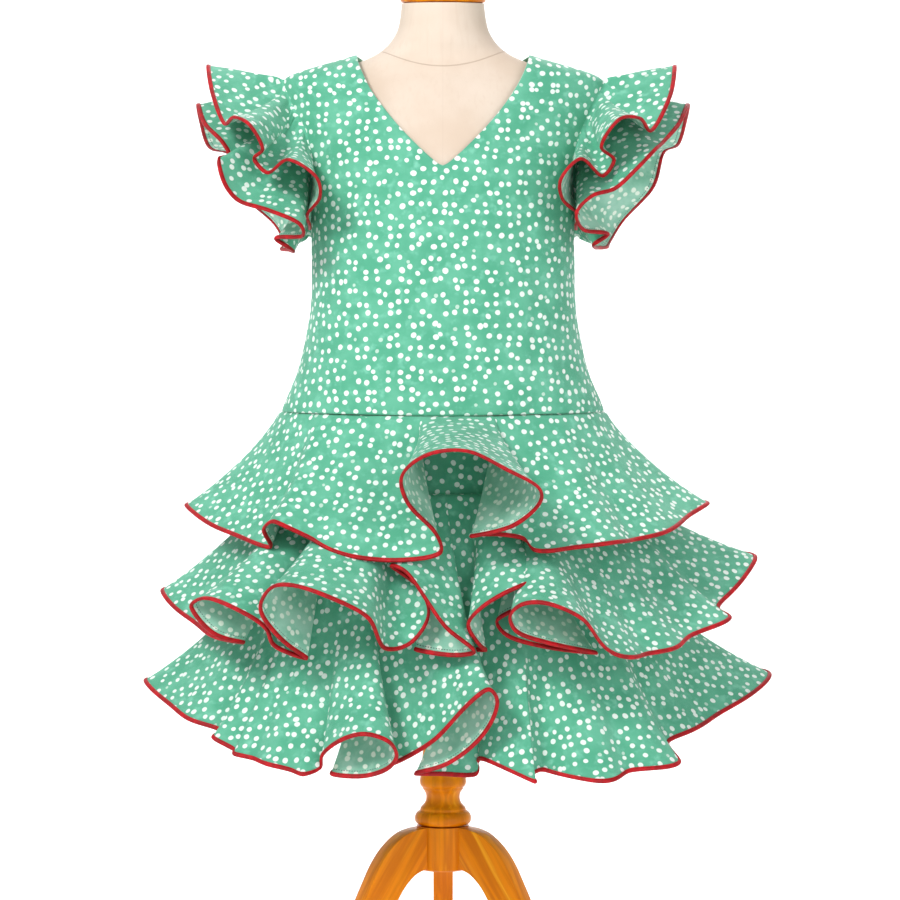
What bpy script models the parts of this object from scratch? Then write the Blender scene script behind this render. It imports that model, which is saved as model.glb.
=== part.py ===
"""A girl's flamenco dress on a limbless dress form with a turned wooden tripod stand.

Metres, +Z up, the front of the dress faces -Y. The origin is on the floor under the
middle of the object. Every cloth piece is a sheet with its own wall thickness. A sheet is
a function of two numbers: u runs round the body and v runs from the upper edge down.
"""

import math
from collections import namedtuple

import bmesh
import bpy
import numpy as np
from mathutils import Matrix, Vector

# ---------------------------------------------------------------- driving sizes
CLOTH = 0.0012            # wall of the poplin, seam allowance pressed in
BINDING_WALL = 0.0016     # bias binding folded over the hem
BINDING = 0.0038          # how far the binding reaches along the cloth
SEAM_GAP = 0.0003         # between hard pieces that touch
EDGE_GAP = 0.0014         # between the edges of panels that are sewn to each other at an angle
BINDING_GAP = 0.0014      # between a frill's edge and the binding on it
EASE = 0.0045             # between the form and the bodice
HIP_EASE = 0.34           # how fast the form grows narrower than the bodice below its hip
HIP_TOP = 0.735
SHOULDER_DROP = 0.009     # how far the form's shoulders lie below the bodice's

HIP_SEAM = 0.6975         # height of the seam between bodice and first flounce, at the sides
HIP_DIP = 0.006           # how much lower that seam lies at centre front
UNDERARM = 0.872
SHOULDER_END = 1.030
SHOULDER_NECK = 1.055
NECK_HALF = 0.0865        # half the distance between the neck ends of the shoulder seams
V_POINT = 0.934
BACK_NECK = 1.038
ARMHOLE_TURN = 27.0       # degrees that the armhole cuts into the front and the back

BODICE_ROWS = 15          # quads from hip seam to shoulder
V_ROW = 8                 # the row that ends in the point of the V
ARM_ROW = 6               # the row that ends at the underarm
BODICE_COLUMNS = 7        # quads from the centre to the side

# Horizontal sections of the bodice: half width, how far the front and the back stand off
# the side seam, and the exponent of the rounded outline (2 is an ellipse).
Section = namedtuple("Section", "height half_width front back square")
SECTIONS = (
    Section(0.600, 0.176, 0.134, 0.140, 2.2),
    Section(0.6915, 0.1640, 0.122, 0.128, 2.3),
    Section(0.740, 0.1440, 0.111, 0.117, 2.3),
    Section(0.780, 0.1352, 0.104, 0.108, 2.3),
    Section(0.815, 0.1310, 0.100, 0.102, 2.3),
    Section(0.870, 0.1308, 0.100, 0.099, 2.2),
    Section(0.920, 0.1380, 0.095, 0.096, 2.1),
    Section(0.970, 0.1490, 0.083, 0.088, 2.0),
    Section(1.010, 0.1575, 0.068, 0.076, 1.8),
    Section(1.030, 0.1600, 0.058, 0.066, 1.7),
    Section(1.055, 0.0865, 0.043, 0.052, 1.7),
)

# The plain skirt that the lower flounces are sewn to, from the hip seam down.
BASE_TOP, BASE_LOW = HIP_SEAM - HIP_DIP - 0.004, 0.512
BASE_FLARE = (0.1560, 0.1770)         # half width at the top and at the lower edge
BASE_FRONT = (0.1150, 0.1400)
BASE_COLUMNS = 32

# Seams of the three flounces: height at the side, dip at the front, half width, front, back.
FlounceSeam = namedtuple("FlounceSeam", "height dip half_width front back")
FLOUNCE_SEAMS = (
    FlounceSeam(HIP_SEAM, HIP_DIP, 0.1635, 0.1215, 0.1275),
    FlounceSeam(0.628, 0.010, 0.1700, 0.1330, 0.1330),
    FlounceSeam(0.545, 0.018, 0.1785, 0.1420, 0.1420),
)
FLOUNCE_COLUMNS = (84, 90, 88)
FLOUNCE_ROWS = 3

# One row for each fold of a hem, in order round the body. across and forward place the
# middle of the fold's rounded head, facing is the way it points (0 ahead, 90 to the right),
# half is half its width and depth how far its crest stands out. left, crest and right are
# the heights of the hem there, and tuck is how far the cloth goes in before the next fold.
# A hem that turns back under itself is given point by point instead.
Fold = namedtuple("Fold", "across forward facing half depth left crest right tuck")
Point = namedtuple("Point", "across forward height")
HEM_1 = (
    Fold(-0.226, 0.073, -51, 0.074, 0.014, 0.606, 0.580, 0.566, -0.012),
    Fold(-0.087, 0.178, -13, 0.080, 0.018, 0.590, 0.564, 0.558, 0.0),
    Point(0.0020, 0.190, 0.563),
    Point(0.0040, 0.200, 0.569),
    Point(-0.0096, 0.214, 0.590),
    Point(-0.0243, 0.231, 0.605),
    Point(-0.0351, 0.245, 0.620),
    Point(-0.0381, 0.250, 0.633),
    Point(-0.0339, 0.256, 0.644),
    Point(-0.0238, 0.261, 0.653),
    Point(0.0070, 0.264, 0.659),
    Point(0.0303, 0.264, 0.656),
    Point(0.0632, 0.260, 0.638),
    Point(0.0890, 0.252, 0.624),
    Point(0.0911, 0.244, 0.613),
    Point(0.0787, 0.232, 0.594),
    Point(0.0411, 0.216, 0.583),
    Point(0.0260, 0.204, 0.579),
    Point(0.0290, 0.193, 0.576),
    Point(0.0480, 0.189, 0.571),
    Point(0.0884, 0.194, 0.564),
    Point(0.1365, 0.193, 0.566),
    Point(0.1800, 0.160, 0.571),
    Fold(0.232, 0.066, 62, 0.068, 0.012, 0.572, 0.588, 0.607, 0.012),
    Fold(0.226, -0.072, 106, 0.040, 0.024, 0.600, 0.596, 0.584, 0.026),
    Fold(0.160, -0.180, 140, 0.042, 0.034, 0.588, 0.594, 0.588, 0.036),
    Fold(0.036, -0.222, 174, 0.046, 0.030, 0.594, 0.602, 0.594, 0.036),
    Fold(-0.112, -0.200, 208, 0.044, 0.032, 0.592, 0.598, 0.590, 0.034),
    Fold(-0.212, -0.108, 242, 0.044, 0.026, 0.588, 0.592, 0.598, 0.020),
)
HEM_2 = (
    Fold(-0.238, 0.052, -53, 0.078, 0.012, 0.520, 0.493, 0.477, 0.000),
    Fold(-0.206, 0.158, -36, 0.038, 0.026, 0.502, 0.520, 0.486, 0.014),
    Fold(-0.100, 0.192, -12, 0.056, 0.038, 0.512, 0.533, 0.480, 0.030),
    Fold(-0.016, 0.190, -38, 0.013, 0.036, 0.488, 0.546, 0.484, 0.022),
    Fold(0.040, 0.188, 34, 0.026, 0.038, 0.482, 0.545, 0.494, 0.010),
    Fold(0.115, 0.188, 12, 0.039, 0.030, 0.500, 0.519, 0.488, 0.004),
    Fold(0.208, 0.128, 40, 0.068, 0.018, 0.470, 0.464, 0.494, 0.002),
    Fold(0.287, 0.022, 54, 0.043, 0.010, 0.502, 0.532, 0.560, 0.006),
    Fold(0.268, -0.080, 104, 0.040, 0.024, 0.552, 0.530, 0.504, 0.034),
    Fold(0.182, -0.196, 138, 0.046, 0.036, 0.502, 0.512, 0.506, 0.050),
    Fold(0.046, -0.236, 173, 0.048, 0.032, 0.508, 0.520, 0.512, 0.046),
    Fold(-0.122, -0.224, 208, 0.046, 0.034, 0.508, 0.512, 0.502, 0.046),
    Fold(-0.234, -0.122, 242, 0.046, 0.028, 0.500, 0.508, 0.516, 0.024),
)
HEM_3 = (
    Fold(-0.268, 0.046, -60, 0.086, 0.012, 0.424, 0.404, 0.388, 0.002),
    Fold(-0.158, 0.176, -26, 0.048, 0.014, 0.374, 0.365, 0.361, 0.000),
    Fold(-0.076, 0.214, -2, 0.036, 0.026, 0.378, 0.402, 0.384, 0.040),
    Fold(0.012, 0.176, 33, 0.024, 0.056, 0.384, 0.437, 0.374, 0.030),
    Fold(0.066, 0.178, -15, 0.028, 0.026, 0.368, 0.358, 0.354, 0.004),
    Fold(0.158, 0.158, 18, 0.062, 0.042, 0.357, 0.353, 0.363, 0.000),
    Fold(0.273, 0.056, 51, 0.074, 0.012, 0.378, 0.404, 0.438, 0.010),
    Fold(0.284, -0.080, 106, 0.042, 0.024, 0.436, 0.415, 0.390, 0.036),
    Fold(0.190, -0.206, 138, 0.050, 0.038, 0.392, 0.402, 0.396, 0.052),
    Fold(0.048, -0.238, 173, 0.050, 0.034, 0.396, 0.404, 0.398, 0.052),
    Fold(-0.128, -0.230, 208, 0.048, 0.036, 0.398, 0.402, 0.392, 0.048),
    Fold(-0.256, -0.122, 246, 0.048, 0.030, 0.392, 0.400, 0.412, 0.026),
)
HEMS = (HEM_1, HEM_2, HEM_3)
CURL = 12.0               # degrees that a fold's head turns back past its sides
TUCK_SHARE = 0.25         # half the width of a tuck's bottom, as a share of its mouth
TUCK_WIDEST = 0.040
HEM_ROUNDING = 0.010      # how far along a hem its bends are evened out, each way
HANG = 0.5                # how much lower the hem lies for each metre that it is tucked in
TRUMPET = 1.22            # how late a frill swings out on its way down: 1 is a straight cone

# Sleeve frills. The armhole lies in an upright plane, so a turn of the frill's hem has its
# place on the armhole seam (degrees from the shoulder over the front), and how far it is
# in front of the armhole's middle, above it, and out from the middle of the body.
Turn = namedtuple("Turn", "seam front up out")
ARMHOLE_MIDDLE = 0.955
LEFT_UPPER = (
    Turn(-143, -0.038, -0.078, 0.132),
    Turn(-133, -0.066, -0.077, 0.134),
    Turn(-122, -0.090, -0.066, 0.142),
    Turn(-112, -0.112, -0.025, 0.167),
    Turn(-92, -0.088, 0.002, 0.197),
    Turn(-70, -0.112, 0.040, 0.207),
    Turn(-44, -0.076, 0.052, 0.229),
    Turn(-20, -0.044, 0.084, 0.236),
    Turn(0, 0.000, 0.089, 0.237),
    Turn(14, 0.045, 0.054, 0.228),
    Turn(26, 0.076, 0.021, 0.213),
    Turn(34, 0.104, 0.024, 0.201),
    Turn(44, 0.120, 0.015, 0.185),
    Turn(52, 0.110, -0.007, 0.173),
    Turn(58, 0.090, -0.015, 0.183),
    Turn(66, 0.096, -0.029, 0.170),
    Turn(78, 0.124, -0.019, 0.147),
    Turn(94, 0.130, -0.036, 0.120),
    Turn(106, 0.112, -0.053, 0.117),
    Turn(121, 0.086, -0.068, 0.131),
    Turn(132, 0.062, -0.077, 0.130),
    Turn(143, 0.038, -0.079, 0.1315),
)
LEFT_LOWER = (
    Turn(0, 0.000, 0.050, 0.247),
    Turn(12, 0.040, 0.025, 0.236),
    Turn(24, 0.068, 0.004, 0.216),
    Turn(34, 0.072, -0.008, 0.209),
    Turn(44, 0.082, -0.012, 0.214),
    Turn(53, 0.098, -0.017, 0.217),
    Turn(63, 0.098, -0.040, 0.211),
    Turn(73, 0.092, -0.055, 0.199),
    Turn(85, 0.104, -0.066, 0.168),
    Turn(97, 0.110, -0.080, 0.137),
    Turn(105, 0.096, -0.090, 0.135),
    Turn(113, 0.080, -0.091, 0.163),
    Turn(124, 0.074, -0.100, 0.150),
    Turn(140, 0.052, -0.102, 0.147),
    Turn(160, 0.028, -0.098, 0.154),
    Turn(184, -0.010, -0.094, 0.164),
    Turn(212, -0.062, -0.084, 0.164),
    Turn(234, -0.104, -0.059, 0.177),
    Turn(256, -0.078, -0.028, 0.211),
    Turn(282, -0.104, 0.012, 0.223),
    Turn(310, -0.068, 0.016, 0.242),
    Turn(337, -0.038, 0.039, 0.248),
)
RIGHT_UPPER = (
    Turn(-143, -0.038, -0.078, 0.132),
    Turn(-133, -0.066, -0.077, 0.134),
    Turn(-122, -0.090, -0.066, 0.142),
    Turn(-112, -0.112, -0.020, 0.169),
    Turn(-90, -0.088, 0.006, 0.199),
    Turn(-68, -0.112, 0.042, 0.205),
    Turn(-42, -0.074, 0.054, 0.226),
    Turn(-19, -0.042, 0.084, 0.234),
    Turn(0, 0.000, 0.089, 0.234),
    Turn(14, 0.045, 0.052, 0.225),
    Turn(27, 0.076, 0.014, 0.203),
    Turn(35, 0.104, 0.023, 0.190),
    Turn(46, 0.122, 0.020, 0.169),
    Turn(56, 0.110, -0.005, 0.152),
    Turn(63, 0.090, -0.016, 0.166),
    Turn(71, 0.096, -0.032, 0.155),
    Turn(83, 0.124, -0.018, 0.131),
    Turn(98, 0.130, -0.038, 0.112),
    Turn(110, 0.112, -0.055, 0.114),
    Turn(121, 0.086, -0.068, 0.131),
    Turn(132, 0.062, -0.077, 0.130),
    Turn(143, 0.038, -0.079, 0.1315),
)
RIGHT_LOWER = (
    Turn(0, 0.000, 0.050, 0.247),
    Turn(12, 0.040, 0.025, 0.234),
    Turn(24, 0.068, 0.004, 0.216),
    Turn(36, 0.092, -0.007, 0.205),
    Turn(50, 0.104, -0.025, 0.188),
    Turn(64, 0.102, -0.045, 0.166),
    Turn(78, 0.112, -0.053, 0.143),
    Turn(92, 0.116, -0.069, 0.128),
    Turn(104, 0.098, -0.084, 0.135),
    Turn(114, 0.080, -0.087, 0.161),
    Turn(125, 0.074, -0.096, 0.148),
    Turn(140, 0.052, -0.098, 0.150),
    Turn(160, 0.028, -0.096, 0.154),
    Turn(184, -0.010, -0.092, 0.166),
    Turn(211, -0.060, -0.082, 0.172),
    Turn(232, -0.100, -0.055, 0.189),
    Turn(254, -0.076, -0.024, 0.218),
    Turn(281, -0.104, 0.015, 0.231),
    Turn(309, -0.068, 0.019, 0.243),
    Turn(337, -0.038, 0.040, 0.248),
)
FRILLS = (
    ("sleeve_left_upper", LEFT_UPPER, -1, 0),
    ("sleeve_left_lower", LEFT_LOWER, -1, 1),
    ("sleeve_right_upper", RIGHT_UPPER, 1, 0),
    ("sleeve_right_lower", RIGHT_LOWER, 1, 1),
)
FRILL_COLUMNS = 26
FRILL_ROWS = 2
FRILL_GAP = 0.0022        # between the armhole edge of the bodice and the frill
LAYER_GAP = 0.0028        # the lower frill is sewn inside the upper one: farther out
LAYER_INSET = 0.0024      # and nearer to the armhole's middle

# ---------------------------------------------------------------- form and stand
FORM_BASE = 0.600
NECK_TOP = 1.1065
NECK_TILT = 8.0           # degrees that the top of the neck slopes down to the front
# Sections of the form above the bodice's neck edge: height, half width, front, back.
NeckSection = namedtuple("NeckSection", "height half_width front back")
NECK = (
    NeckSection(1.0480, 0.0810, 0.041, 0.045),
    NeckSection(1.0560, 0.0650, 0.041, 0.045),
    NeckSection(1.0650, 0.0545, 0.042, 0.047),
    NeckSection(1.0780, 0.0462, 0.041, 0.044),
    NeckSection(1.0920, 0.0428, 0.040, 0.041),
    NeckSection(1.1065, 0.0412, 0.040, 0.040),
)
FORM_SIDES = 40
FORM_LEVELS = (0.600, 0.650, 0.700, 0.740, 0.780, 0.820, 0.870, 0.910, 0.945, 0.975,
               1.000, 1.018, 1.030, 1.040)

# Turned profiles, radius against height, from the bottom up.
COLUMN_PROFILE = (
    (0.0190, 0.2854), (0.0262, 0.2866), (0.0284, 0.2900), (0.0284, 0.2945), (0.0262, 0.2985),
    (0.0232, 0.3000), (0.0228, 0.3012), (0.0228, 0.3030), (0.0180, 0.3075), (0.0166, 0.3130),
    (0.0176, 0.3180), (0.0206, 0.3220), (0.0208, 0.3235), (0.0230, 0.3255), (0.0234, 0.3300),
    (0.0225, 0.3345), (0.0200, 0.3600), (0.0180, 0.4200), (0.0175, 0.5997),
)
HUB_PROFILE = ((0.0150, 0.2420), (0.0186, 0.2450), (0.0186, 0.2851))
TURNED_STEPS = 28

LEG_WIDTH = 0.020
LEG_GAP = 0.0003
LEG_BEARINGS = (("leg_front_left", -60.0), ("leg_front_right", 60.0), ("leg_back", 180.0))
# Upper and lower edges of the leg's sawn outline, radius against height.
LEG_UPPER = (
    (0.0189, 0.2848), (0.0330, 0.2838), (0.0480, 0.2795), (0.0650, 0.2665), (0.0770, 0.2510),
    (0.0855, 0.2350), (0.0965, 0.2120), (0.1090, 0.1740), (0.1240, 0.1340), (0.1460, 0.0960),
    (0.1780, 0.0620), (0.2160, 0.0390), (0.2480, 0.0290), (0.2660, 0.0220), (0.2720, 0.0100),
    (0.2700, 0.0000),
)
LEG_LOWER = (
    (0.2340, 0.0000), (0.2220, 0.0060), (0.1960, 0.0170), (0.1600, 0.0360), (0.1280, 0.0640),
    (0.1040, 0.0980), (0.0880, 0.1360), (0.0740, 0.1760), (0.0610, 0.2080), (0.0480, 0.2290),
    (0.0340, 0.2410), (0.0189, 0.2450),
)
LEG_BEVEL = 0.002

# Colours are linear RGB.
COLOURS = {
    "cloth": ((0.10, 0.56, 0.33, 1.0), 0.75),
    "binding": ((0.62, 0.01, 0.03, 1.0), 0.55),
    "linen": ((0.89, 0.77, 0.65, 1.0), 0.85),
    "wood": ((0.72, 0.28, 0.03, 1.0), 0.30),
}


# ---------------------------------------------------------------- curves and surfaces
def smooth_step_rows(rows, height):
    """A row of the table at this height, eased between its neighbours."""
    table = np.array(rows, float)
    heights = table[:, 0]
    slopes = np.gradient(table, heights, axis=0)
    i = int(np.clip(np.searchsorted(heights, height) - 1, 0, len(rows) - 2))
    step = heights[i + 1] - heights[i]
    t = np.clip((height - heights[i]) / step, 0.0, 1.0)
    # Each slope is held to what keeps the curve between the two rows.
    rise = (table[i + 1] - table[i]) / step
    first = np.sign(rise) * np.clip(slopes[i] * np.sign(rise), 0, 3 * np.abs(rise))
    last = np.sign(rise) * np.clip(slopes[i + 1] * np.sign(rise), 0, 3 * np.abs(rise))
    return (
        (2 * t**3 - 3 * t**2 + 1) * table[i]
        + (t**3 - 2 * t**2 + t) * step * first
        + (3 * t**2 - 2 * t**3) * table[i + 1]
        + (t**3 - t**2) * step * last
    )


def body_point(turn, height, ease=0.0):
    """A point of the dressed figure. turn is 0 at the right side, 90 at the front."""
    _, half_width, front, back, square = smooth_step_rows(SECTIONS, height)
    c, s = math.cos(math.radians(turn)), math.sin(math.radians(turn))
    deep = front if s > 0 else back
    x = (half_width - ease) * math.copysign(abs(c) ** (2 / square), c)
    y = -(deep - ease) * math.copysign(abs(s) ** (2 / square), s)
    return Vector((x, y, height))


def turn_at(x, height):
    """The turn, 0 to 90, at which the figure's outline has this distance from the middle."""
    _, half_width, _, _, square = smooth_step_rows(SECTIONS, height)
    return math.degrees(math.acos(min(1.0, x / half_width) ** (square / 2)))


def hip_height(turn):
    return HIP_SEAM - HIP_DIP * max(0.0, math.sin(math.radians(turn))) ** 2


def outer_edge(row):
    """Turn and height of a panel's outer edge: side seam, then armhole to shoulder end."""
    arm = ARM_ROW / BODICE_ROWS
    if row <= arm:
        return 0.0, HIP_SEAM + (UNDERARM - HIP_SEAM) * row / arm
    share = (row - arm) / (1 - arm)
    return armhole_turn(share), UNDERARM + (SHOULDER_END - UNDERARM) * share


def armhole_turn(share):
    return ARMHOLE_TURN * math.sin(math.pi * share) ** 0.8 if 0 < share < 1 else 0.0


def front_inner_edge(row):
    """Turn and height of the front's inner edge: centre line, then the V neck."""
    point = V_ROW / BODICE_ROWS
    low = HIP_SEAM - HIP_DIP
    if row <= point:
        return 90.0, low + (V_POINT - low) * row / point
    share = (row - point) / (1 - point)
    height = V_POINT + (SHOULDER_NECK - V_POINT) * share
    return turn_at(NECK_HALF * share**0.62, height), height


def back_inner_edge(row):
    """Turn and height of a back's inner edge: centre-back seam, then the round neck."""
    point = (BODICE_ROWS - 2) / BODICE_ROWS
    if row <= point:
        return 90.0, HIP_SEAM + (BACK_NECK - 0.004 - HIP_SEAM) * row / point
    share = (row - point) / (1 - point)
    height = BACK_NECK - 0.004 + (SHOULDER_NECK - BACK_NECK + 0.004) * share**1.4
    return turn_at(NECK_HALF * share**0.8, height), height


def panel_point(inner_edge, side, front, u, v):
    """A point of a bodice panel: u from the centre to the side, v from shoulder to hip."""
    row = 1.0 - v
    inner_turn, inner_height = inner_edge(row)
    outer_turn, outer_height = outer_edge(row)
    turn = inner_turn + (outer_turn - inner_turn) * u
    height = inner_height + (outer_height - inner_height) * u
    point = body_point(turn if front else -turn, height)
    # The side and centre-back seams, the shoulder and the hip seam each keep their gap.
    half = EDGE_GAP / 2
    apart = half * max(u, (1 - v) ** 6)
    if front:
        point.y -= apart
    else:
        point.y += apart
        point.x += half * (1 - u)
    point.z -= half * (1 - v) if v > 0.5 else half
    point.x *= side
    return point


def spline(points, closed=True, steps=24):
    """A smooth curve through the points, with even pace between near and far ones."""
    points = np.array(points, float)
    count = len(points)
    found = []
    for i in range(count if closed else count - 1):
        if closed:
            p = [points[(i + k) % count] for k in (-1, 0, 1, 2)]
        else:
            p = [points[min(max(i + k, 0), count - 1)] for k in (-1, 0, 1, 2)]
        gaps = [max(np.linalg.norm(p[k + 1][-3:] - p[k][-3:]), 1e-6) ** 0.5 for k in range(3)]
        start = (p[1] - p[0]) / gaps[0] - (p[2] - p[0]) / (gaps[0] + gaps[1])
        start = (start + (p[2] - p[1]) / gaps[1]) * gaps[1]
        end = (p[2] - p[1]) / gaps[1] - (p[3] - p[1]) / (gaps[1] + gaps[2])
        end = (end + (p[3] - p[2]) / gaps[2]) * gaps[1]
        for t in np.arange(steps) / steps:
            found.append(
                (2 * t**3 - 3 * t**2 + 1) * p[1] + (t**3 - 2 * t**2 + t) * start
                + (3 * t**2 - 2 * t**3) * p[2] + (t**3 - t**2) * end
            )
    found.append(points[0] if closed else points[-1])
    return np.array(found)


def fold_points(folds):
    """Points of a hem, (across, forward, height): five for each head, two for the tuck after it."""
    heads = []
    for fold in folds:
        if isinstance(fold, Point):
            heads.append([np.array(fold)])
            continue
        facing = math.radians(fold.facing)
        out = np.array([math.sin(facing), math.cos(facing), 0.0])
        along = np.array([math.cos(facing), -math.sin(facing), 0.0])
        middle = np.array([fold.across, fold.forward, 0.0])
        heights = (fold.left, 0.4 * fold.left + 0.6 * fold.crest, fold.crest,
                   0.4 * fold.right + 0.6 * fold.crest, fold.right)
        head = []
        for place, height in zip((-1, -0.5, 0, 0.5, 1), heights):
            angle = math.radians(place * (90 + CURL))
            point = middle + along * fold.half * math.sin(angle) + out * fold.depth * math.cos(angle)
            head.append(point + np.array([0.0, 0.0, height]))
        heads.append(head)
    found = []
    for head, following, fold in zip(heads, heads[1:] + heads[:1], folds):
        found += head
        if len(head) == 1 or len(following) == 1:
            continue
        between = (head[-1] + following[0]) / 2
        between[:2] -= between[:2] / np.linalg.norm(between[:2]) * fold.tuck
        between[2] -= HANG * max(0.0, fold.tuck)
        across = following[0] - head[-1]
        across *= TUCK_SHARE * min(1.0, TUCK_WIDEST / np.linalg.norm(across))
        found += [between - across, between + across]
    return np.array(found)


def rounded(curve):
    """A dense curve with its sharpest bends opened out, as cloth can't crease at a hem."""
    closed = np.allclose(curve[0], curve[-1])
    lengths = np.linalg.norm(np.diff(curve, axis=0), axis=1)
    along = np.concatenate([[0.0], np.cumsum(lengths)])
    found = []
    for place in along:
        window = place + np.linspace(-HEM_ROUNDING, HEM_ROUNDING, 9)
        window = window % along[-1] if closed else np.clip(window, 0, along[-1])
        near = np.stack([np.interp(window, along, axis) for axis in curve.T], axis=1)
        weights = 1.0 - np.abs(np.linspace(-0.9, 0.9, 9))
        found.append((near * weights[:, None]).sum(axis=0) / weights.sum())
    if not closed:
        found[0], found[-1] = curve[0], curve[-1]
    return np.array(found)


def even_by_bend(curve, count):
    """Places along a dense curve, count steps of equal length and bend taken together."""
    closed = np.allclose(curve[0], curve[-1])
    edges = np.diff(curve, axis=0)
    lengths = np.linalg.norm(edges, axis=1)
    ways = edges / np.maximum(lengths[:, None], 1e-9)
    bends = np.arccos(np.clip((ways * np.roll(ways, 1, axis=0)).sum(axis=1), -1, 1))
    if not closed:
        bends[0] = 0.0
    weight = lengths / 0.030 + bends / math.radians(28)
    total = np.concatenate([[0.0], np.cumsum(weight)])
    return np.interp(np.linspace(0, total[-1], count + 1), total, np.arange(len(curve)))


def seam_of_flounce(tier, bearing):
    """A point of the ring that a flounce is sewn to, at a bearing in degrees."""
    seam = FLOUNCE_SEAMS[tier]
    s, c = math.sin(math.radians(bearing)), math.cos(math.radians(bearing))
    power = 2 / 2.2
    deep = seam.front if c > 0 else seam.back
    x = seam.half_width * math.copysign(abs(s) ** power, s)
    y = -deep * math.copysign(abs(c) ** power, c)
    return np.array([x, y, seam.height - seam.dip * max(0.0, c) ** 2])


def bearings_along(points):
    """The bearing on the seam that each point of a hem hangs from, in degrees.

    A fold turns back on itself, so a point's own bearing is averaged over a head and a
    tuck, and the bearings then rise all the way round.
    """
    own = np.unwrap(np.arctan2(points[:, 0], points[:, 1]))
    even = own[0] + np.arange(len(own)) * 2 * math.pi / len(own)
    drift = own - even
    kernel = np.array([1, 2, 3, 4, 3, 2, 1], float)
    wrapped = np.concatenate([drift[-3:], drift, drift[:3]])
    smooth = even + np.convolve(wrapped, kernel / kernel.sum(), mode="valid")
    return np.degrees(0.9 * np.sort(smooth) + 0.1 * even)


def hem_of_flounce(tier, columns):
    """Rows of (bearing, x, y, z) along a flounce's hem, one for each column and the first again."""
    points = fold_points(HEMS[tier])
    bearings = bearings_along(points)
    across, forward, height = spline(points).T
    curve = rounded(np.stack([across, -forward, height], axis=1))
    places = even_by_bend(curve, columns)
    index = np.arange(len(curve))
    knots = np.linspace(0, index[-1], len(bearings) + 1)
    rising = np.interp(places, knots, np.append(bearings, bearings[0] + 360))
    return np.column_stack([rising] + [np.interp(places, index, axis) for axis in curve.T])


def ruling(seam, hem, v):
    """A point of the line from seam to hem: it first drops and then swings out."""
    if v > 1:
        return hem + (hem - ruling(seam, hem, 0.9)) * (v - 1) / 0.1
    out, drop = v**TRUMPET, 1 - (1 - v) ** 1.12
    return np.array([*(seam[:2] + (hem[:2] - seam[:2]) * out), seam[2] + (hem[2] - seam[2]) * drop])


def frill_seam(side, layer, bearing):
    """A point of the armhole seam: 0 at the shoulder, 90 at the front, 180 at the underarm."""
    share = (1 + math.cos(math.radians(bearing))) / 2
    turn = armhole_turn(share)
    front = math.sin(math.radians(bearing)) >= 0
    edge = body_point(turn if front else -turn, UNDERARM + (SHOULDER_END - UNDERARM) * share)
    inset = Vector((0, edge.y, edge.z - ARMHOLE_MIDDLE)).normalized() * LAYER_INSET * layer
    out = edge.x + FRILL_GAP + LAYER_GAP * layer
    return np.array([side * out, edge.y - inset.y, edge.z - inset.z])


def hem_of_frill(turns, side, columns):
    """Rows of (bearing, x, y, z) along a sleeve frill's hem: a ring, or a strip with two ends."""
    closed = turns[0].seam == 0
    points = np.array([(t.seam, side * t.out, -t.front, ARMHOLE_MIDDLE + t.up) for t in turns])
    curve = rounded(spline(points[:, 1:], closed))
    places = even_by_bend(curve, columns)
    index = np.arange(len(curve))
    bearings = np.append(points[:, 0], 360) if closed else points[:, 0]
    rising = np.interp(places, np.linspace(0, index[-1], len(bearings)), bearings)
    return np.column_stack([rising] + [np.interp(places, index, axis) for axis in curve.T])


# ---------------------------------------------------------------- building pieces
def clear_scene():
    for old in list(bpy.data.objects):
        bpy.data.objects.remove(old, do_unlink=True)


def material(name):
    colour, roughness = COLOURS[name]
    made = bpy.data.materials.new(name)
    made.use_nodes = True
    shader = made.node_tree.nodes["Principled BSDF"]
    shader.inputs["Base Color"].default_value = colour
    shader.inputs["Roughness"].default_value = roughness
    return made


def object_from(bm, name, finish, recalculate=True):
    """An object from a bmesh, shaded smooth, with its own material."""
    if recalculate:
        bmesh.ops.recalc_face_normals(bm, faces=bm.faces)
    mesh = bpy.data.meshes.new(name)
    bm.to_mesh(mesh)
    bm.free()
    mesh.shade_smooth()
    mesh.set_sharp_from_angle(angle=math.radians(40))
    mesh.materials.append(material(finish))
    made = bpy.data.objects.new(name, mesh)
    bpy.context.scene.collection.objects.link(made)
    return made


def add_sheet(bm, place, columns, rows):
    """A grid laid on place(column share, row share), both from 0 to 1."""
    grid = bmesh.ops.create_grid(bm, x_segments=columns, y_segments=rows, size=1.0)
    for vert in grid["verts"]:
        vert.co = place((vert.co.x + 1) / 2, (vert.co.y + 1) / 2)


def cloth_piece(name, finish, wall, sheets):
    """One cloth piece from sheets that share edges, with its wall on both sides of them."""
    bm = bmesh.new()
    for place, columns, rows in sheets:
        add_sheet(bm, place, columns, rows)
    bmesh.ops.remove_doubles(bm, verts=bm.verts, dist=2e-5)
    made = object_from(bm, name, finish)
    solidify = made.modifiers.new("wall", "SOLIDIFY")
    solidify.thickness = wall
    solidify.offset = 0.0
    return made


def make_bodice():
    def half(inner_edge, side, front):
        return lambda u, v: panel_point(inner_edge, side, front, u, v)

    size = (BODICE_COLUMNS, BODICE_ROWS)
    fronts = [(half(front_inner_edge, side, True), *size) for side in (-1, 1)]
    cloth_piece("bodice_front", "cloth", CLOTH, fronts)
    for side, name in ((-1, "bodice_back_left"), (1, "bodice_back_right")):
        cloth_piece(name, "cloth", CLOTH, [(half(back_inner_edge, side, False), *size)])


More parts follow.
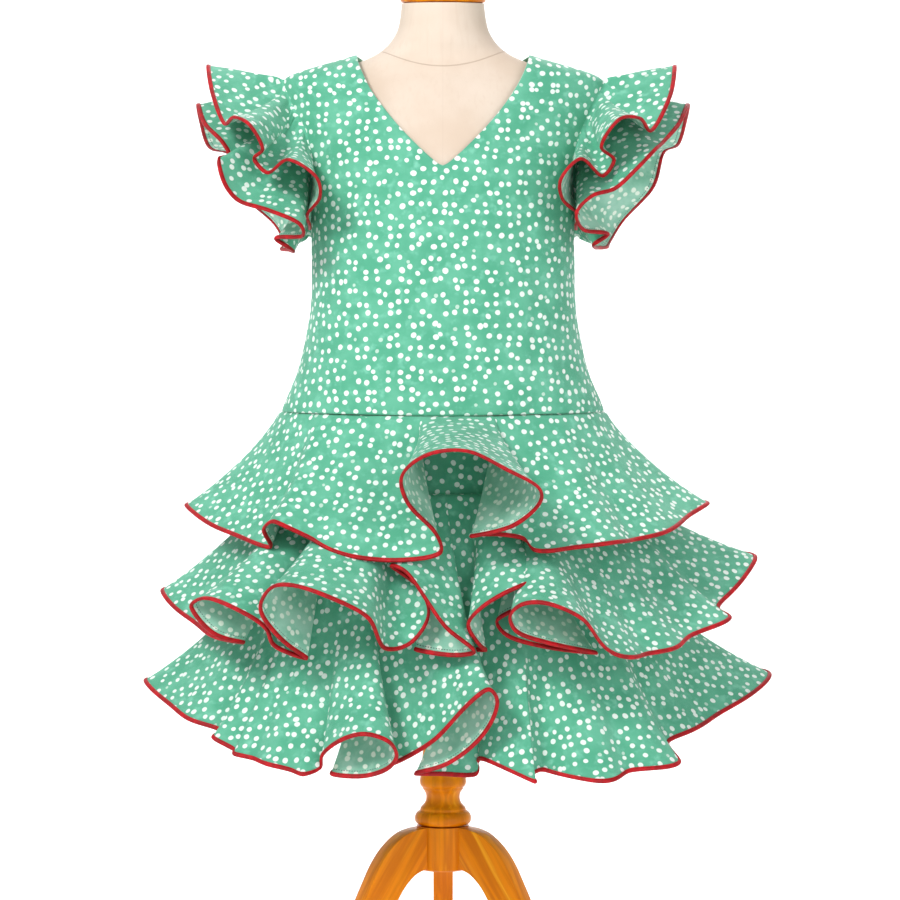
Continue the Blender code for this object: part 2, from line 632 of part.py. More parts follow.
def make_skirt_base():
    def place(u, v):
        bearing = math.radians(360 * u)
        half_width = BASE_FLARE[0] + (BASE_FLARE[1] - BASE_FLARE[0]) * v
        deep = BASE_FRONT[0] + (BASE_FRONT[1] - BASE_FRONT[0]) * v
        height = BASE_TOP + (BASE_LOW - BASE_TOP) * v
        return Vector((half_width * math.sin(bearing), -deep * math.cos(bearing), height))

    cloth_piece("skirt_base", "cloth", CLOTH, [(place, BASE_COLUMNS, 1)])


def make_frill(name, seam, hem, rows):
    """A flounce or sleeve frill and the binding on its hem."""
    columns = len(hem) - 1
    starts = [seam(row[0]) for row in hem]
    lengths = [np.linalg.norm(row[1:] - start) for row, start in zip(hem, starts)]

    def place(first, last):
        def at(u, v):
            i = round(u * columns)
            edge = 1 - BINDING / lengths[i]
            lowest = edge if last is None else last
            top = edge + BINDING_GAP / lengths[i] if first is None else first
            return Vector(ruling(starts[i], hem[i][1:], top + (lowest - top) * v))

        return at

    cloth_piece(name, "cloth", CLOTH, [(place(0.0, None), columns, rows)])
    cloth_piece(name + "_binding", "binding", BINDING_WALL, [(place(None, 1.0), columns, 1)])


def make_flounces():
    for tier, columns in enumerate(FLOUNCE_COLUMNS):
        def seam(bearing, tier=tier):
            point = seam_of_flounce(tier, bearing)
            point[2] -= EDGE_GAP
            return point

        make_frill(f"flounce_{tier + 1}", seam, hem_of_flounce(tier, columns), FLOUNCE_ROWS)


def make_sleeve_frills():
    for name, turns, side, layer in FRILLS:
        def seam(bearing, side=side, layer=layer):
            return frill_seam(side, layer, bearing)

        make_frill(name, seam, hem_of_frill(turns, side, FRILL_COLUMNS), FRILL_ROWS)


def ring_solid(name, finish, rings):
    """A closed solid through rings of points, with flat ends."""
    bm = bmesh.new()
    loops = [[bm.verts.new(point) for point in ring] for ring in rings]
    for lower, upper in zip(loops, loops[1:]):
        for i in range(len(lower)):
            j = (i + 1) % len(lower)
            bm.faces.new((lower[i], lower[j], upper[j], upper[i]))
    bm.faces.new(loops[0])
    bm.faces.new(loops[-1])
    return object_from(bm, name, finish)


def make_form():
    """The stuffed torso inside the dress, and the turned cap on its neck."""
    turns = [360 * i / FORM_SIDES for i in range(FORM_SIDES)]
    rings = []
    for height in FORM_LEVELS:
        ease = EASE + HIP_EASE * max(0.0, HIP_TOP - height)
        drop = SHOULDER_DROP * min(1.0, max(0.0, (height - 0.95) / 0.07))
        rings.append([body_point(turn, height, ease) - Vector((0, 0, drop)) for turn in turns])
    tilt = math.tan(math.radians(NECK_TILT))
    for section in NECK:
        share = (section.height - NECK[0].height) / (NECK[-1].height - NECK[0].height)
        ring = []
        for turn in turns:
            s, c = math.sin(math.radians(turn)), math.cos(math.radians(turn))
            y = -s * (section.front if s > 0 else section.back)
            ring.append(Vector((section.half_width * c, y, section.height + y * tilt * share)))
        rings.append(ring)
    ring_solid("form_torso", "linen", rings)

    profile = ((0.96, 0.0004), (1.03, 0.002), (1.05, 0.006), (1.03, 0.010), (0.90, 0.0145),
               (0.60, 0.0185), (0.25, 0.0205))
    caps = []
    for scale, lift in profile:
        ring = []
        for turn in turns:
            s, c = math.sin(math.radians(turn)), math.cos(math.radians(turn))
            y = -s * NECK[-1].front * scale
            ring.append(Vector((NECK[-1].half_width * scale * c, y, NECK_TOP + y * tilt + lift)))
        caps.append(ring)
    ring_solid("form_neck_cap", "wood", caps)


def turned(name, profile):
    """A solid turned on a lathe: a closed half outline spun about the axis."""
    bm = bmesh.new()
    outline = [(0.0, profile[0][1]), *profile, (0.0, profile[-1][1])]
    verts = [bm.verts.new((radius, 0.0, height)) for radius, height in outline]
    edges = [bm.edges.new(pair) for pair in zip(verts, verts[1:])]
    bmesh.ops.spin(bm, geom=verts + edges, cent=(0, 0, 0), axis=(0, 0, 1), angle=2 * math.pi,
                   steps=TURNED_STEPS, use_merge=True)
    bmesh.ops.remove_doubles(bm, verts=bm.verts, dist=1e-6)
    return object_from(bm, name, "wood")


def make_leg(name, bearing):
    """A leg sawn from a board to its outline, with its arrises eased."""
    bm = bmesh.new()
    outline = [bm.verts.new((radius, -LEG_WIDTH / 2, height)) for radius, height in LEG_UPPER + LEG_LOWER]
    board = bm.faces.new(outline)
    moved = bmesh.ops.extrude_face_region(bm, geom=[board])["geom"]
    verts = [item for item in moved if isinstance(item, bmesh.types.BMVert)]
    bmesh.ops.translate(bm, verts=verts, vec=(0, LEG_WIDTH, 0))
    bmesh.ops.recalc_face_normals(bm, faces=bm.faces)
    arrises = [
        edge for edge in bm.edges
        if abs(edge.verts[0].co.y - edge.verts[1].co.y) < 1e-6
        and min(v.co.z for v in edge.verts) > 1e-4
        and max(v.co.x for v in edge.verts) > LEG_UPPER[0][0] + 1e-4
    ]
    bmesh.ops.bevel(bm, geom=arrises, offset=LEG_BEVEL, offset_type="OFFSET", segments=1,
                    profile=0.5, affect="EDGES", clamp_overlap=True, material=-1)
    turn = Matrix.Rotation(math.radians(bearing - 90), 4, "Z")
    bmesh.ops.transform(bm, matrix=turn, verts=bm.verts)
    return object_from(bm, name, "wood")


def make_stand():
    turned("stand_column", COLUMN_PROFILE)
    turned("stand_hub", HUB_PROFILE)
    for name, bearing in LEG_BEARINGS:
        make_leg(name, bearing)


def main():
    clear_scene()
    make_form()
    make_stand()
    make_bodice()
    make_skirt_base()
    make_flounces()
    make_sleeve_frills()


main()
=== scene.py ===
# %% [markdown]
# # A girl's flamenco dress on a dress form
#
# The dress is a fitted bodice, three circular flounces on a plain skirt, and two frills on
# each shoulder, all in a green dotted poplin with a red binding on every free edge. It is
# worn by a linen-covered form on a turned wooden tripod. This lesson builds it piece by
# piece, in the order that a dressmaker would cut and sew it.
#
# The packed model is loaded first. It is the fixed frame that every piece is fitted to:
# metres, +Z up, the front of the dress facing -Y.

# %% Load the frame
import math
from collections import namedtuple

import bmesh
import bpy
import numpy as np
from mathutils import Matrix, Vector, noise


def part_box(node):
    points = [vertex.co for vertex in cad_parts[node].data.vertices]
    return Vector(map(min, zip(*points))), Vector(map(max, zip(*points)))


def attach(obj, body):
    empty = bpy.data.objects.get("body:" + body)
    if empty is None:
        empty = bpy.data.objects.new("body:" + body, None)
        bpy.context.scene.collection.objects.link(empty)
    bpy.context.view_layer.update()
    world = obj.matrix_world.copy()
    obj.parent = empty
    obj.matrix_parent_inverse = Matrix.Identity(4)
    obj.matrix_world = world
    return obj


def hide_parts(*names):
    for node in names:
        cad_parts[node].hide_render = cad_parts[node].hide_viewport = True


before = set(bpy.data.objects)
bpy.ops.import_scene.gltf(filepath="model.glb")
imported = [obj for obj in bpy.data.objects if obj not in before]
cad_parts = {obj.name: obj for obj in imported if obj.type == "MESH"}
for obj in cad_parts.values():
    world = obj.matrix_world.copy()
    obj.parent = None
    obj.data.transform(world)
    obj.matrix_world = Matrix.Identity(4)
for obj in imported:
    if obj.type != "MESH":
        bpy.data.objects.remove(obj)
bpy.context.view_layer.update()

# %% [markdown]
# ## Camera, light and floor
#
# The camera stands level, at the height of the hip, and far back with a long lens, as a
# studio would for a garment. Three large soft lamps on the dress, one on the backdrop and a
# bright, even world give the low contrast of a catalogue picture. The floor is a wide pale
# sheet that curves up behind.

# %% Camera
CAMERA_PLACE = Vector((0.007, -2.55, 0.660))
LENS, SENSOR = 102.0, 36.0

camera_data = bpy.data.cameras.new("camera")
camera_data.lens, camera_data.sensor_width = LENS, SENSOR
camera = bpy.data.objects.new("camera", camera_data)
camera.location = CAMERA_PLACE
camera.rotation_euler = (math.radians(90), 0, 0)
bpy.context.scene.collection.objects.link(camera)
bpy.context.scene.camera = camera
print("the view is", round(SENSOR / LENS * -CAMERA_PLACE.y, 2), "m wide at the dress")

# %% Lamps and world
Lamp = namedtuple("Lamp", "name place power size")
LAMPS = (
    Lamp("key", (-1.7, -2.1, 2.6), 72.0, 1.0),
    Lamp("fill", (1.6, -2.6, 1.2), 27.0, 1.8),
    Lamp("back", (0.6, 2.0, 2.2), 18.0, 1.6),
    Lamp("backdrop", (0.0, 1.2, 3.4), 150.0, 3.0),
)
AIM, BACKDROP_AIM = Vector((0.0, 0.0, 0.7)), Vector((0.0, 5.0, 1.2))


def add_lamp(lamp):
    data = bpy.data.lights.new(lamp.name, "AREA")
    data.energy, data.size = lamp.power, lamp.size
    made = bpy.data.objects.new(lamp.name, data)
    made.location = lamp.place
    aim = BACKDROP_AIM if lamp.name == "backdrop" else AIM
    made.rotation_euler = (aim - made.location).to_track_quat("-Z", "Y").to_euler()
    bpy.context.scene.collection.objects.link(made)


for lamp in LAMPS:
    add_lamp(lamp)
world = bpy.data.worlds.new("studio")
world.use_nodes = True
world.node_tree.nodes["Background"].inputs["Color"].default_value = (1.0, 1.0, 1.0, 1.0)
world.node_tree.nodes["Background"].inputs["Strength"].default_value = 0.52
bpy.context.scene.world = world
bpy.context.scene.view_settings.view_transform = "Standard"
print(len(LAMPS), "lamps")

# %% [markdown]
# ## Writing materials as expressions
#
# A cloth's look is arithmetic: a dot is where a distance is under a radius, a stitch is
# where two waves meet. Wrapping a socket in a small class lets that arithmetic be written
# as Python, and each operator adds its Math node.

# %% A socket that can be used in sums


def operator(operation, reverse=False):
    """The method that adds this Math node to a socket and whatever else it is given."""
    return lambda value, *others: value.math(operation, *others, reverse=reverse)


class Value:
    """A socket of a material's tree. Sums on it add Math nodes."""

    def __init__(self, tree, socket):
        self.tree, self.socket = tree, socket

    def math(self, operation, *others, reverse=False):
        inputs = [other.socket if isinstance(other, Value) else other for other in others]
        inputs.insert(1 if reverse else 0, self.socket)
        return self.tree.node("ShaderNodeMath", {"operation": operation}, dict(enumerate(inputs)))

    __add__ = __radd__ = operator("ADD")
    __sub__, __rsub__ = operator("SUBTRACT"), operator("SUBTRACT", reverse=True)
    __mul__ = __rmul__ = operator("MULTIPLY")
    __lt__, absolute = operator("LESS_THAN"), operator("ABSOLUTE")

    def clamp(self):
        return self.math("MAXIMUM", 0.0).math("MINIMUM", 1.0)

    def wave(self, pitch):
        """A sine that comes round once in each pitch."""
        return (self * (2 * math.pi / pitch)).math("SINE")

print("operators:", [name for name in vars(Value) if name in ("__add__", "__sub__", "__mul__", "__lt__")])

# %% A material's tree


class Tree:
    """A new material, with short ways to add nodes to it and to finish its surface."""

    def __init__(self, name, **constants):
        self.made = bpy.data.materials.new(name)
        self.made.use_nodes = True
        self.nodes, self.links = self.made.node_tree.nodes, self.made.node_tree.links
        self.shader = self.nodes["Principled BSDF"]
        for socket, value in constants.items():
            self.shader.inputs[socket.replace("_", " ")].default_value = value

    def node(self, kind, settings=None, inputs=None, output=0):
        made = self.nodes.new(kind)
        for name, value in (settings or {}).items():
            setattr(made, name, value)
        for name, value in (inputs or {}).items():
            self.put(made.inputs[name], value)
        return Value(self, made.outputs[output])

    def put(self, socket, value):
        if isinstance(value, Value):
            value = value.socket
        if isinstance(value, bpy.types.NodeSocket):
            self.links.new(value, socket)
        else:
            socket.default_value = value

    def mix(self, factor, first, second):
        made = self.nodes.new("ShaderNodeMix")
        made.data_type = "RGBA"
        for socket, value in ((made.inputs[0], factor), (made.inputs[6], first), (made.inputs[7], second)):
            self.put(socket, value)
        return Value(self, made.outputs[2])

    def soft_step(self, value, low, high):
        """0 below low, 1 above high, and a smooth rise between them."""
        settings = {"interpolation_type": "SMOOTHSTEP"}
        return self.node("ShaderNodeMapRange", settings, {"Value": value, "From Min": low, "From Max": high})

    def parts(self, kind, vector):
        """What a Separate XYZ or a Separate Color node makes of a vector or a colour."""
        made = self.nodes.new(kind)
        self.put(made.inputs[0], vector)
        return [Value(self, socket) for socket in made.outputs]

    def axes(self, vector):
        return self.parts("ShaderNodeSeparateXYZ", vector)

    def uv(self, name):
        return self.node("ShaderNodeUVMap", {"uv_map": name})

    def noise(self, vector, scale, detail=2.0, output=0):
        inputs = {"Vector": vector, "Scale": scale, "Detail": detail}
        return self.node("ShaderNodeTexNoise", None, inputs, output)

    def finish(self, colour, roughness, height, distance, strength=1.0):
        self.put(self.shader.inputs["Base Color"], colour)
        self.put(self.shader.inputs["Roughness"], roughness)
        inputs = {"Height": height, "Distance": distance, "Strength": strength}
        bump = self.node("ShaderNodeBump", None, inputs)
        self.put(self.shader.inputs["Normal"], bump)
        return self.made

print("a tree can", [name for name in vars(Tree) if not name.startswith("_")])

# %% Colours as they look on a screen


def colour(red, green, blue):
    """A colour given as it looks on a screen, 0 to 255, made linear for the shader."""
    return (*[(c / 255 / 12.92) if c < 10.3 else ((c / 255 + 0.055) / 1.055) ** 2.4
              for c in (red, green, blue)], 1.0)


print("a mid grey of 128 is", round(colour(128, 128, 128)[0], 3), "in linear light")

# %% [markdown]
# ## The dotted poplin
#
# Poplin is a plain weave with a fine crosswise rib and a faint sheen. The dots are printed:
# about 5 mm across, scattered but even, so a Voronoi texture with less than full randomness
# places one in each cell. It reads the "cloth" UV map, which holds every piece laid flat in
# metres, so that a dot stays round and follows the folds. The print shows through to the
# wrong side, where the green is paler and the dots are dull. The wrong side's colours are made
# paler still, as painted light: they stand for light that passes through the thin cloth into the flutes.

# %% Poplin, right side and wrong side
MINT, MINT_DEEP, MINT_PALE = colour(100, 184, 152), colour(80, 170, 136), colour(124, 202, 175)
# The wrong side's dot colour and its two ground colours below are paler than the print showing through would
# make them: the extra paleness is painted light, for light passing through the thin cloth into the flutes.
DOT, DOT_WRONG_SIDE_AND_LIT = colour(232, 243, 236), colour(230, 242, 228)
WRONG_SIDE_PALE_AND_LIT, WRONG_SIDE_DEEP_AND_LIT = colour(164, 212, 192), colour(128, 192, 166)
CELL = 0.0107             # spacing of the dots
DOT_RADIUS = 0.0028
THREAD = 0.0005           # pitch of the weave
HEM_STITCH = 0.0062       # how far above a hem the line of stitches runs on the wrong side


def poplin(name, base, deep, pale, dot, edge, stitched):
    """One side of the dotted cloth. edge is how softly a dot ends, in cells."""
    tree = Tree(name, Specular_IOR_Level=0.32, Sheen_Weight=0.18, Sheen_Roughness=0.45)
    flat = tree.uv("cloth")
    wander = tree.noise(flat, 26.0, output=1)
    bent = tree.node("ShaderNodeVectorMath", {"operation": "MULTIPLY_ADD"},
                     {0: wander, 1: (0.006, 0.006, 0.0), 2: flat})
    cells = tree.node("ShaderNodeTexVoronoi", {"feature": "F1", "voronoi_dimensions": "2D"},
                      {"Vector": bent, "Scale": 1 / CELL, "Randomness": 0.66})
    chance = tree.parts("ShaderNodeSeparateColor", cells.socket.node.outputs["Color"])
    # Dots differ a little in size, and a few printed small and faint.
    size = chance[0] * 0.22 + 0.80
    faint = chance[1] < 0.07
    radius = (size - faint * 0.25) * (DOT_RADIUS / CELL)
    ragged = tree.noise(flat, 700.0) * 0.05 - 0.025
    dots = 1 - tree.soft_step(cells + ragged, radius - edge, radius + edge)
    dots = dots * (1 - faint * 0.45)
    tone = tree.soft_step(tree.noise(flat, 34.0, 4.0), 0.36, 0.66)
    ground = tree.mix(tone, deep, base)
    ground = tree.mix(tree.soft_step(tree.noise(flat, 90.0, 3.0), 0.5, 0.8), ground, pale)
    warp, weft = (axis.wave(THREAD) for axis in tree.axes(flat)[:2])
    weave = warp * weft
    painted = tree.mix(dots, ground, dot)
    height = weave * 0.5 + tree.noise(flat, 260.0, 3.0) * 1.6 + dots * 0.3
    if stitched:
        along, above, _ = tree.axes(tree.uv("edge"))
        stitch = ((above - HEM_STITCH).absolute() < 0.0005) * tree.soft_step(along.wave(0.0028), -0.5, 0.0)
        painted = tree.mix(stitch * 0.8, painted, colour(40, 62, 52))
        height = height - stitch * 1.5
    return tree.finish(painted, 0.62 + tone * 0.08, height, 0.00022, 0.5)


right_side = poplin("dotted_poplin", MINT, MINT_DEEP, MINT_PALE, DOT, 0.022, False)
wrong_side = poplin("poplin_wrong_side", WRONG_SIDE_PALE_AND_LIT, WRONG_SIDE_DEEP_AND_LIT, WRONG_SIDE_PALE_AND_LIT, DOT_WRONG_SIDE_AND_LIT, 0.05, True)
print("about", round(1 / CELL**2 / 10000, 2), "dots on each square centimetre")

# %% [markdown]
# ## Binding, linen and wood
#
# The binding is a bias strip of red satin-finished cotton, folded over the edge and stitched
# down near its fold. The form is covered in a closely woven cream linen. Its neck cap and
# stand are a varnished wood with the grain running lengthwise. The last two have no folds to
# follow, so they read Object coordinates.

# %% Binding, linen and varnished wood
RED, RED_DEEP = colour(190, 4, 22), colour(150, 2, 14)
CREAM, CREAM_DEEP = colour(222, 206, 190), colour(212, 192, 173)
AMBER, AMBER_DARK, AMBER_LIGHT = colour(236, 136, 2), colour(190, 92, 1), colour(248, 166, 30)


def binding_finish():
    tree = Tree("red_binding", Specular_IOR_Level=0.3)
    flat = tree.uv("cloth")
    along, across, _ = tree.axes(flat)
    rib = (along + across).wave(0.0007)
    stitch = ((across - 0.0009).absolute() < 0.0003) * tree.soft_step(along.wave(0.0026), -0.6, -0.1)
    worn = tree.noise(flat, 160.0, 3.0)
    tone = tree.mix(tree.soft_step(worn, 0.35, 0.7), RED_DEEP, RED)
    painted = tree.mix(stitch * 0.4, tone, colour(222, 52, 66))
    return tree.finish(painted, 0.42 + worn * 0.2, rib * 0.25 + worn - stitch, 0.0002, 0.6)


def linen_finish():
    tree = Tree("form_linen", Specular_IOR_Level=0.25, Sheen_Weight=0.15)
    place = tree.node("ShaderNodeTexCoord", output=3)
    x, _, z = tree.axes(place)
    slub = tree.noise(place, 420.0, 3.0)
    drawn_out = tree.node("ShaderNodeMapping", None, {"Vector": place, "Scale": (1.0, 1.0, 0.06)})
    long_slub = tree.noise(drawn_out, 300.0)
    tone = tree.mix(tree.soft_step(tree.noise(place, 14.0, 4.0), 0.3, 0.7), CREAM_DEEP, CREAM)
    tone = tree.mix(tree.soft_step(long_slub, 0.5, 0.75) * 0.35, tone, CREAM_DEEP)
    # Where the neck's own cover is sewn on, and down the middle.
    neck_seam = 1 - tree.soft_step((z - 1.0375 - x * x * 5.0).absolute(), 0.0003, 0.0009)
    middle_seam = 1 - tree.soft_step(x.absolute(), 0.0002, 0.0006)
    tone = tree.mix((neck_seam * 0.42 + middle_seam * 0.06).clamp(), tone, colour(150, 122, 100))
    height = x.wave(0.0009) * z.wave(0.0009) * 0.4 + slub - neck_seam * 4.0
    return tree.finish(tone, 0.8 + slub * 0.1, height, 0.0002, 0.45)


def wood_finish(name, turn=(0.0, 0.0, 0.0)):
    """Varnished wood. turn is the rotation that stands its grain upright."""
    tree = Tree(name, Coat_Weight=0.1, Coat_Roughness=0.12, Specular_IOR_Level=0.12)
    upright = tree.node("ShaderNodeVectorRotate", {"rotation_type": "EULER_XYZ"},
                        {"Vector": tree.node("ShaderNodeTexCoord", output=3), "Rotation": turn})
    place = tree.node("ShaderNodeMapping", None, {"Vector": upright, "Scale": (1.0, 1.0, 0.055)})
    bands = tree.noise(place, 46.0, 5.0)
    rings = bands.wave(2 * math.pi / 34.0) * 0.5 + 0.5
    fibre = tree.noise(place, 900.0)
    tone = tree.mix(rings * 0.55, AMBER, AMBER_DARK)
    tone = tree.mix(tree.soft_step(tree.noise(place, 130.0, 3.0), 0.55, 0.8), tone, AMBER_LIGHT)
    tone = tree.mix(tree.soft_step(fibre, 0.62, 0.8) * 0.5, tone, AMBER_DARK)
    return tree.finish(tone, 0.36 - rings * 0.08, fibre + rings * 0.4, 0.00015, 0.4)


red_binding, form_linen = binding_finish(), linen_finish()
varnished_wood = wood_finish("varnished_wood")
print([m.name for m in (right_side, wrong_side, red_binding, form_linen, varnished_wood)])

# %% [markdown]
# ## Laying out a sheet of cloth
#
# Every cloth piece starts as a flat grid whose points are moved to where the cloth lies. The
# grid's faces carry two UV maps: "cloth", the piece laid flat in metres, and "edge", how far
# along the hem and how far above it a point is. Solidify gives the wall, with the wrong
# side's material on its inner face, and one level of subdivision rounds the folds.

# %% From a grid of places to a piece
WALL = 0.0011


def add_modifiers(piece, wall, levels=1):
    if wall:
        solidify = piece.modifiers.new("wall", "SOLIDIFY")
        solidify.thickness, solidify.offset = wall, 0.0
        solidify.material_offset = solidify.material_offset_rim = 1
    if levels:
        smooth = piece.modifiers.new("smooth", "SUBSURF")
        smooth.levels = smooth.render_levels = levels


def grid_piece(name, places, maps, materials, inside, wall=WALL, levels=1, close_ends=False, slit=None):
    """A piece whose grid point (i, j) lies at places[i, j]. inside is a point behind it.

    slit names a column of faces to leave out, between two halves that share an edge.
    """
    columns, rows = places.shape[0] - 1, places.shape[1] - 1
    bm = bmesh.new()
    layers = {title: bm.loops.layers.uv.new(title) for title in maps}
    bmesh.ops.create_grid(bm, x_segments=columns, y_segments=rows, size=1.0)
    spot = {v: (round((v.co.x + 1) / 2 * columns), round((v.co.y + 1) / 2 * rows)) for v in bm.verts}
    for face in bm.faces:
        face.smooth = True
        for loop in face.loops:
            for title, layer in layers.items():
                loop[layer].uv = maps[title][spot[loop.vert]]
    between = [face for face in bm.faces if min(spot[v][0] for v in face.verts) == slit]
    for vert, (i, j) in spot.items():
        vert.co = places[i, j]
    bmesh.ops.delete(bm, geom=between, context="FACES")
    bmesh.ops.remove_doubles(bm, verts=bm.verts, dist=1e-6)
    if close_ends:
        ends = [edge for edge in bm.edges if edge.is_boundary]
        bmesh.ops.holes_fill(bm, edges=ends, sides=0)
        bmesh.ops.recalc_face_normals(bm, faces=bm.faces)
    bm.normal_update()
    facing = sum((face.calc_center_median() - Vector(inside)).dot(face.normal) * face.calc_area()
                 for face in bm.faces)
    if facing < 0:
        bmesh.ops.reverse_faces(bm, faces=bm.faces)
    mesh = bpy.data.meshes.new(name)
    bm.to_mesh(mesh)
    bm.free()
    for finish in materials:
        mesh.materials.append(finish)
    piece = bpy.data.objects.new(name, mesh)
    bpy.context.scene.collection.objects.link(piece)
    add_modifiers(piece, wall, levels)
    return piece


# %% Areas and lengths
def surface_area(places):
    a, b = places[1:, :-1] - places[:-1, :-1], places[:-1, 1:] - places[:-1, :-1]
    return float(np.linalg.norm(np.cross(a, b), axis=2).sum())


def run_lengths(points, axis=0):
    """How far along each row of points lies from the first."""
    steps = np.linalg.norm(np.diff(points, axis=axis), axis=-1)
    return np.concatenate([np.zeros_like(np.take(steps, [0], axis)), np.cumsum(steps, axis)], axis)


print("a square metre measures", round(surface_area(np.array(
    [[[x, y, 0.0] for y in (0.0, 1.0)] for x in (0.0, 1.0)])), 3))

# %% [markdown]
# ## Unrolling a flounce
#
# A circular flounce is cut as a wide ring, so its hem is far longer than its seam and no
# rectangle fits it. Its threads still keep their length. Laying the strip's triangles down
# one by one, each beside the last with its true sides, gives the flat cut, and with it dots
# of the same size everywhere.

# %% Unroll a strip triangle by triangle


def beside(first, second, from_first, from_second):
    """The point at these distances from two others, on their left."""
    way = second - first
    apart = max(np.hypot(*way), 1e-9)
    x = (from_first**2 - from_second**2 + apart**2) / (2 * apart)
    y = math.sqrt(max(from_first**2 - x**2, 0.0))
    return first + (x * way + y * np.array([-way[1], way[0]])) / apart


def unrolled(places):
    """The "cloth" map of a strip: places[:, 0] is its seam and places[:, -1] its hem."""
    down = run_lengths(places, axis=1)
    length = down[:, -1]
    straight = np.linalg.norm(places[:, -1] - places[:, 0], axis=1)
    seam, hem = np.zeros(2), np.array([0.0, -length[0]])
    ends = [(seam, hem)]
    for i in range(1, len(places)):
        slant = np.linalg.norm(places[i, 0] - places[i - 1, -1]) * length[i - 1] / straight[i - 1]
        across_seam = np.linalg.norm(places[i, 0] - places[i - 1, 0])
        across_hem = np.linalg.norm(places[i, -1] - places[i - 1, -1])
        seam_next = beside(seam, hem, across_seam, slant)
        hem = beside(seam_next, hem, length[i], across_hem)
        seam = seam_next
        ends.append((seam, hem))
    share = (down / length[:, None])[:, :, None]
    seams, hems = (np.array([pair[k] for pair in ends])[:, None] for k in (0, 1))
    return seams + (hems - seams) * share


def edge_map(places):
    """The "edge" map of a strip: how far along its hem, and how far above it."""
    along = run_lengths(places[:, -1])
    down = run_lengths(places, axis=1)
    above = down[:, -1:] - down
    return np.stack([np.broadcast_to(along[:, None], above.shape), above], axis=-1)


# %% [markdown]
# ## The figure
#
# Bodice and form share one general figure: a table of level sections, each a rounded outline
# given by its half width, its depth in front and behind, and how square it is. Heights come
# from the frame where a seam of the packed model gives them.

# %% Curves between known points
def hermite(t, start, start_slope, end, end_slope):
    """Between start and end, leaving and arriving with these slopes."""
    return ((2 * t**3 - 3 * t**2 + 1) * start + (t**3 - 2 * t**2 + t) * start_slope
            + (3 * t**2 - 2 * t**3) * end + (t**3 - t**2) * end_slope)


def bulge(value, square):
    """A sine or cosine made squarer, for outlines between an ellipse and a rectangle."""
    return math.copysign(abs(value) ** (2 / square), value)


def sine_cosine(degrees):
    return math.sin(math.radians(degrees)), math.cos(math.radians(degrees))


print("half way between 0 and 1, level at both ends:", hermite(0.5, 0.0, 0.0, 1.0, 0.0))

# %% Sections of the figure
HIP_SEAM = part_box("bodice_back_left")[0].z
HIP_DIP = 0.006           # how much lower the hip seam lies at centre front
UNDERARM = 0.872
SHOULDER_END = 1.030
SHOULDER_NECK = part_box("bodice_front")[1].z
NECK_HALF = 0.0865        # half the distance between the neck ends of the shoulder seams
V_POINT = 0.934
BACK_NECK = 1.038
ARMHOLE_TURN = 27.0       # degrees that the armhole cuts into the front and the back

Section = namedtuple("Section", "height half_width front back square")
SECTIONS = np.array((
    Section(0.600, 0.176, 0.134, 0.140, 2.2),
    Section(0.6915, 0.1640, 0.122, 0.128, 2.3),
    Section(0.740, 0.1440, 0.111, 0.117, 2.3),
    Section(0.780, 0.1352, 0.104, 0.108, 2.3),
    Section(0.815, 0.1310, 0.100, 0.102, 2.3),
    Section(0.870, 0.1308, 0.100, 0.099, 2.2),
    Section(0.920, 0.1380, 0.095, 0.096, 2.1),
    Section(0.970, 0.1490, 0.083, 0.088, 2.0),
    Section(1.010, 0.1575, 0.068, 0.076, 1.8),
    Section(1.030, 0.1600, 0.058, 0.066, 1.7),
    Section(1.055, 0.0865, 0.043, 0.052, 1.7),
))


def section_at(height):
    """A section of the figure at this height, eased between the table's rows."""
    heights = SECTIONS[:, 0]
    slopes = np.gradient(SECTIONS, heights, axis=0)
    i = int(np.clip(np.searchsorted(heights, height) - 1, 0, len(SECTIONS) - 2))
    step = heights[i + 1] - heights[i]
    t = np.clip((height - heights[i]) / step, 0.0, 1.0)
    rise = (SECTIONS[i + 1] - SECTIONS[i]) / step
    first, last = (np.sign(rise) * np.clip(slope * np.sign(rise), 0, 3 * np.abs(rise))
                   for slope in (slopes[i], slopes[i + 1]))
    return Section(*hermite(t, SECTIONS[i], step * first, SECTIONS[i + 1], step * last))


def figure_point(turn, height, ease=0.0):
    """A point of the figure. turn is 0 at the right side, 90 at the front."""
    s = section_at(height)
    f, c = sine_cosine(turn)
    deep = s.front if f > 0 else s.back
    return np.array([(s.half_width - ease) * bulge(c, s.square), -(deep - ease) * bulge(f, s.square), height])


print("chest half width", round(section_at(UNDERARM).half_width, 4), "m at the underarm")

# %% [markdown]
# ## The bodice
#
# The front is one panel with a deep V neck, fitted by a dart below each bust point. The back
# is two panels joined down the middle. Each panel is a grid between two edges: an inner one,
# which is the centre line and then the neck, and an outer one, which is the side seam and
# then the armhole. Creases are listed one by one: a stitched dart is a narrow groove, a drag
# line from the armhole is a wide shallow one.

# %% Edges of a panel
V_SHARE, NECK_SHARE, ARM_SHARE = 8 / 15, 13 / 15, 6 / 15   # of the way up from hip to shoulder


def turn_at(x, height):
    s = section_at(height)
    return math.degrees(math.acos(min(1.0, x / s.half_width) ** (s.square / 2)))


def armhole_turn(share):
    return ARMHOLE_TURN * math.sin(math.pi * share) ** 0.8 if 0 < share < 1 else 0.0


def outer_edge(up):
    if up <= ARM_SHARE:
        return 0.0, HIP_SEAM + (UNDERARM - HIP_SEAM) * up / ARM_SHARE
    share = (up - ARM_SHARE) / (1 - ARM_SHARE)
    return armhole_turn(share), UNDERARM + (SHOULDER_END - UNDERARM) * share


